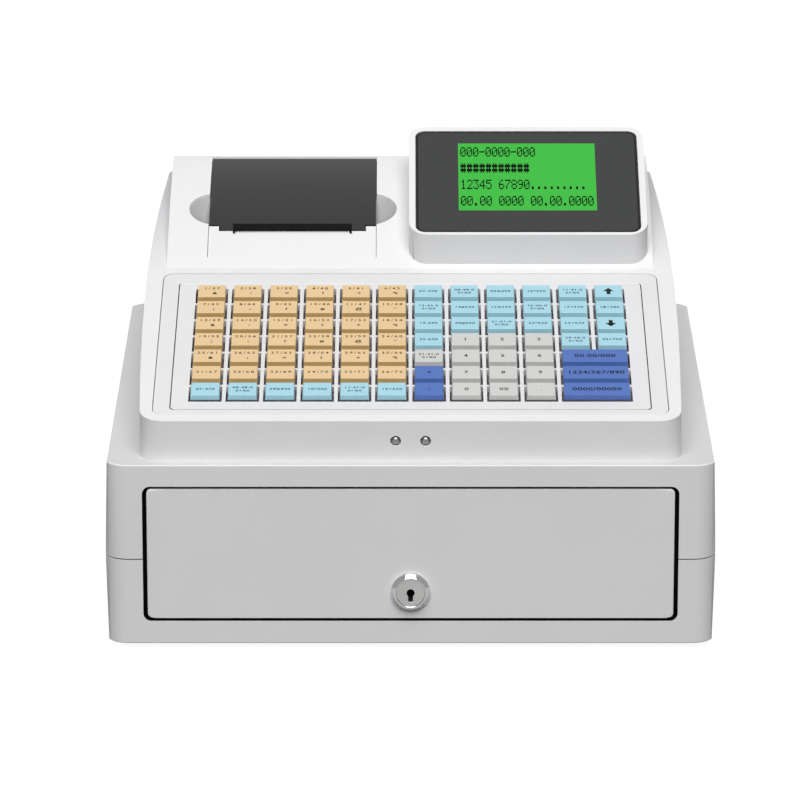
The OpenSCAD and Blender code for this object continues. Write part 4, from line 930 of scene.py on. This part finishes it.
LINES = ["000-0000-000", "###########", "12345 67890.........", "00.00 0000 00.00.0000"]
patterns = {sign: figure(sign) for sign in sorted(set("".join(LINES)) - {" "})}
signs = []
for k, line in enumerate(LINES):
    for i, sign in enumerate(line):
        if sign != " ":
            x = SCREEN_X - SCREEN_W / 2 + MARGIN_X + i * FIGURE_PITCH
            y = SCREEN_Y + SCREEN_H / 2 - MARGIN_Y - k * LINE_PITCH
            signs.append(copy_to(patterns[sign], FACE @ shift(x, y, DOTS_Z)))
for pattern in patterns.values():
    bpy.data.objects.remove(pattern)
readout = joined(signs, "screen_figures")
paint(readout, lcd_ink)
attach(readout, "register")
print("figures on the screen:", len(signs), "dots:", len(readout.data.polygons))

# %% [markdown]
# ## Lid and tear bar
# The smoked lid keeps its CAD form, with slightly rounded edges. Its narrow sides are black, as
# smoked plastic looks where light has to cross the whole sheet. The tear bar on its lip is black
# too, with small teeth that must stay sharp. The window at the back of the display has the lens's
# finish.

# %% Lid, tear bar and window at the back
lid = soft_copy("paper_lid", "smoked_lid")
bevel_edges(lid, 0.3, 2, lambda m, d, s: max(n.z for n in s) > 0.85)
paint(lid, smoked)
repaint(lid, lambda m, n: abs(n.x) > 0.7 or n.y < -0.8, lens_edge)
shade(lid)
mount(lid, "lid", "smoked_plastic", "paper_lid")
teeth = soft_copy("tear_bar", "toothed_tear_bar")
bevel_edges(teeth, 0.12, 1, lambda m, d, s: max(n.z for n in s) > 0.85)
paint(teeth, black_and_painted_shade)
shade(teeth, 20)
mount(teeth, "lid", "black_plastic", "tear_bar")
rear_lens = soft_copy("customer_window", "rear_lens")
bevel_edges(rear_lens, 0.25, 2)
paint(rear_lens, lens_grey)
shade(rear_lens)
mount(rear_lens, "register", "dark_glass", "customer_window")
print("lid faces:", len(lid.data.polygons))

# %% [markdown]
# ## The lock
# A cam lock has a turned, chromed rim round a plug of satin nickel. The edges of both are polished
# round. The keyhole is a real hole in the plug, and its inside is painted near black, painted shade
# that keeps it dark under any light.

# %% Lock
KEYHOLE_R, KEYHOLE_Y = 0.0045, -0.148    # its half height and a y behind the face, in metres
rim = soft_copy("lock_housing", "chromed_lock_rim")
bevel_edges(rim, 0.35, 3, lambda m, d, s: m.y < -0.147)
paint(rim, chrome)
shade(rim, 30)
mount(rim, "drawer", "chrome", "lock_housing")
plug = soft_copy("lock_plug", "lock_plug_face")
bevel_edges(plug, 0.2, 2, lambda m, d, s: m.y < -0.1495)
paint(plug, satin_nickel)
middle = sum((Vector(corner) for corner in plug.bound_box), Vector()) / 8


def in_keyhole(m, n):
    """True on the walls and the floor of the keyhole."""
    beside = math.hypot(m.x - middle.x, m.z - middle.z)
    return beside < KEYHOLE_R and (abs(n.y) < 0.6 or m.y > KEYHOLE_Y)


# Painted shade: the keyhole's walls and floor are painted near black.
repaint(plug, in_keyhole, black_and_painted_shade)
shade(plug, 30)
mount(plug, "lock", "chrome", "lock_plug")
print("lock faces:", len(rim.data.polygons), len(plug.data.polygons))

# %% [markdown]
# ## The keyboard's rubber mat
# The CAD's domes are solid, and a pressed key's stem would cut into them, where real rubber gives
# way. So each dome gets a funnel in its top that leaves the stem room.

# %% Mat with open domes
DOME_TOP, FUNNEL_RIM, FUNNEL_DEPTH = -6.5, 1.7, 2.0    # on DECK, in mm
mat = soft_copy("key_mat", "domed_mat")
edit("FACE")
pick_faces(mat, lambda m, n: n.dot(DECK_UP) > 0.99 and near((DECK.inverted() @ m).z, DOME_TOP))
bpy.ops.mesh.inset(thickness=FUNNEL_RIM * MM)
bpy.ops.transform.translate(value=DECK_UP * -FUNNEL_DEPTH * MM)
leave_edit()
paint(mat, grey_rubber)
shade(mat, 30)
mount(mat, "register", "grey_rubber", "key_mat")
print("mat faces:", len(mat.data.polygons))

# %% [markdown]
# ## Pieces that keep their CAD form
# The drawer box, tray, rollers, latch, printer parts and boards are already the right shape. Each
# of them only needs the finish of what it is made of.

# %% Finishes for the carried-over nodes
FINISHES = {
    black_rubber: ("rubber_feet", "platen_roller"),
    zinc: ("drawer_box", "drawer_runners", "lock_cam", "latch_lever", "release_solenoid",
           "feed_motor", "data_sockets"),
    drawn_steel: ("case_screws", "clip_rod", "solenoid_plunger", "eject_spring"),
    black_plastic: ("cash_tray", "printer_frame", "power_inlet", "power_switch"),
    grey_plastic: ("bill_clip_1", "bill_clip_2", "bill_clip_3"),
    gear_plastic: ("left_roller", "right_roller", "platen_gear", "motor_pinion"),
    head_ceramic: ("print_head",),
    paper: ("paper_roll",),
    lcd_green: ("lcd_panel",),
    board_green: ("keyboard_board", "main_board"),
}
for finish, names in FINISHES.items():
    for name in names:
        for place in nodes[name].material_slots:
            place.material = finish
print("carried-over nodes:", sum(len(names) for names in FINISHES.values()))

# %% [markdown]
# ## Floor, light and camera
# A plain pale floor and soft light from above and in front show form without hard shadows. Floor
# and world look white to the camera and in shiny or clear pieces, by a glow that gives the object
# itself little or no light. The camera looks down at 17 degrees through a long lens, which keeps
# the housing's sides nearly upright.

# %% Floor and world
bpy.ops.mesh.primitive_plane_add(size=8, location=(0, 0, 0))
floor = bpy.context.active_object
floor.name = "floor"
finish, tree, shader, _, node = new_finish("pale_floor")
shader.inputs["Base Color"].default_value = rgb("5C5C5C")
shader.inputs["Roughness"].default_value = 0.9
shader.inputs["Specular IOR Level"].default_value = 0.0


def lit_by_ray(tree, kind, plain, shiny, seen):
    """A white glow of three strengths: plain, off shiny or through clear pieces, and as seen."""
    rays = tree.nodes.new("ShaderNodeLightPath")
    strength = plain
    for ray, level in (("Is Glossy Ray", shiny), ("Is Transmission Ray", shiny),
                       ("Is Camera Ray", seen)):
        step = tree.nodes.new("ShaderNodeMix")
        tree.links.new(rays.outputs[ray], step.inputs["Factor"])
        if strength is plain:
            step.inputs["A"].default_value = plain
        else:
            tree.links.new(strength, step.inputs["A"])
        step.inputs["B"].default_value = level
        strength = step.outputs["Result"]
    glow = tree.nodes.new(kind)
    glow.inputs["Color"].default_value = (1, 1, 1, 1)
    tree.links.new(strength, glow.inputs["Strength"])
    return glow.outputs[0]


both = node("AddShader")
tree.links.new(shader.outputs[0], both.inputs[0])
glow = lit_by_ray(tree, "ShaderNodeEmission", plain=0.0, shiny=0.5, seen=0.94)
tree.links.new(glow, both.inputs[1])
tree.links.new(both.outputs[0], tree.nodes["Material Output"].inputs["Surface"])
paint(floor, finish)

world = bpy.context.scene.world or bpy.data.worlds.new("studio")
bpy.context.scene.world = world
world.use_nodes = True
wires = world.node_tree
glow = lit_by_ray(wires, "ShaderNodeBackground", plain=0.12, shiny=0.4, seen=1.0)
wires.links.new(glow, wires.nodes["World Output"].inputs["Surface"])
print("floor and world ready")


# %% Lamps
def sun(name, turn, lift, spread, power):
    """A broad sun: turn leads from the front to the right, lift up from the floor, in degrees."""
    bpy.ops.object.light_add(type="SUN")
    lamp = bpy.context.active_object
    lamp.name = name
    lamp.data.angle, lamp.data.energy = math.radians(spread), power
    lamp.rotation_euler = (math.radians(90 - lift), 0, math.radians(turn))
    lamp.visible_glossy = name != "back_fill"    # that one would stand in the lid as a glare


sun("key", turn=0, lift=56, spread=50, power=3.25)
sun("left_fill", turn=-120, lift=14, spread=50, power=0.2)
sun("right_fill", turn=120, lift=14, spread=50, power=0.2)
sun("back_fill", turn=180, lift=10, spread=50, power=0.9)

# %% Camera and view settings
LOOKS_DOWN = 17                             # degrees
CAMERA_AT = (-0.00538, -2.84585, 0.958)     # metres
LENS, SENSOR = 251.98, 36                   # mm
bpy.ops.object.camera_add(location=CAMERA_AT, rotation=(math.radians(90 - LOOKS_DOWN), 0, 0))
camera = bpy.context.active_object
camera.data.lens, camera.data.sensor_width = LENS, SENSOR
camera.data.clip_end = 20
bpy.context.scene.camera = camera
bpy.context.scene.view_settings.view_transform = "Standard"
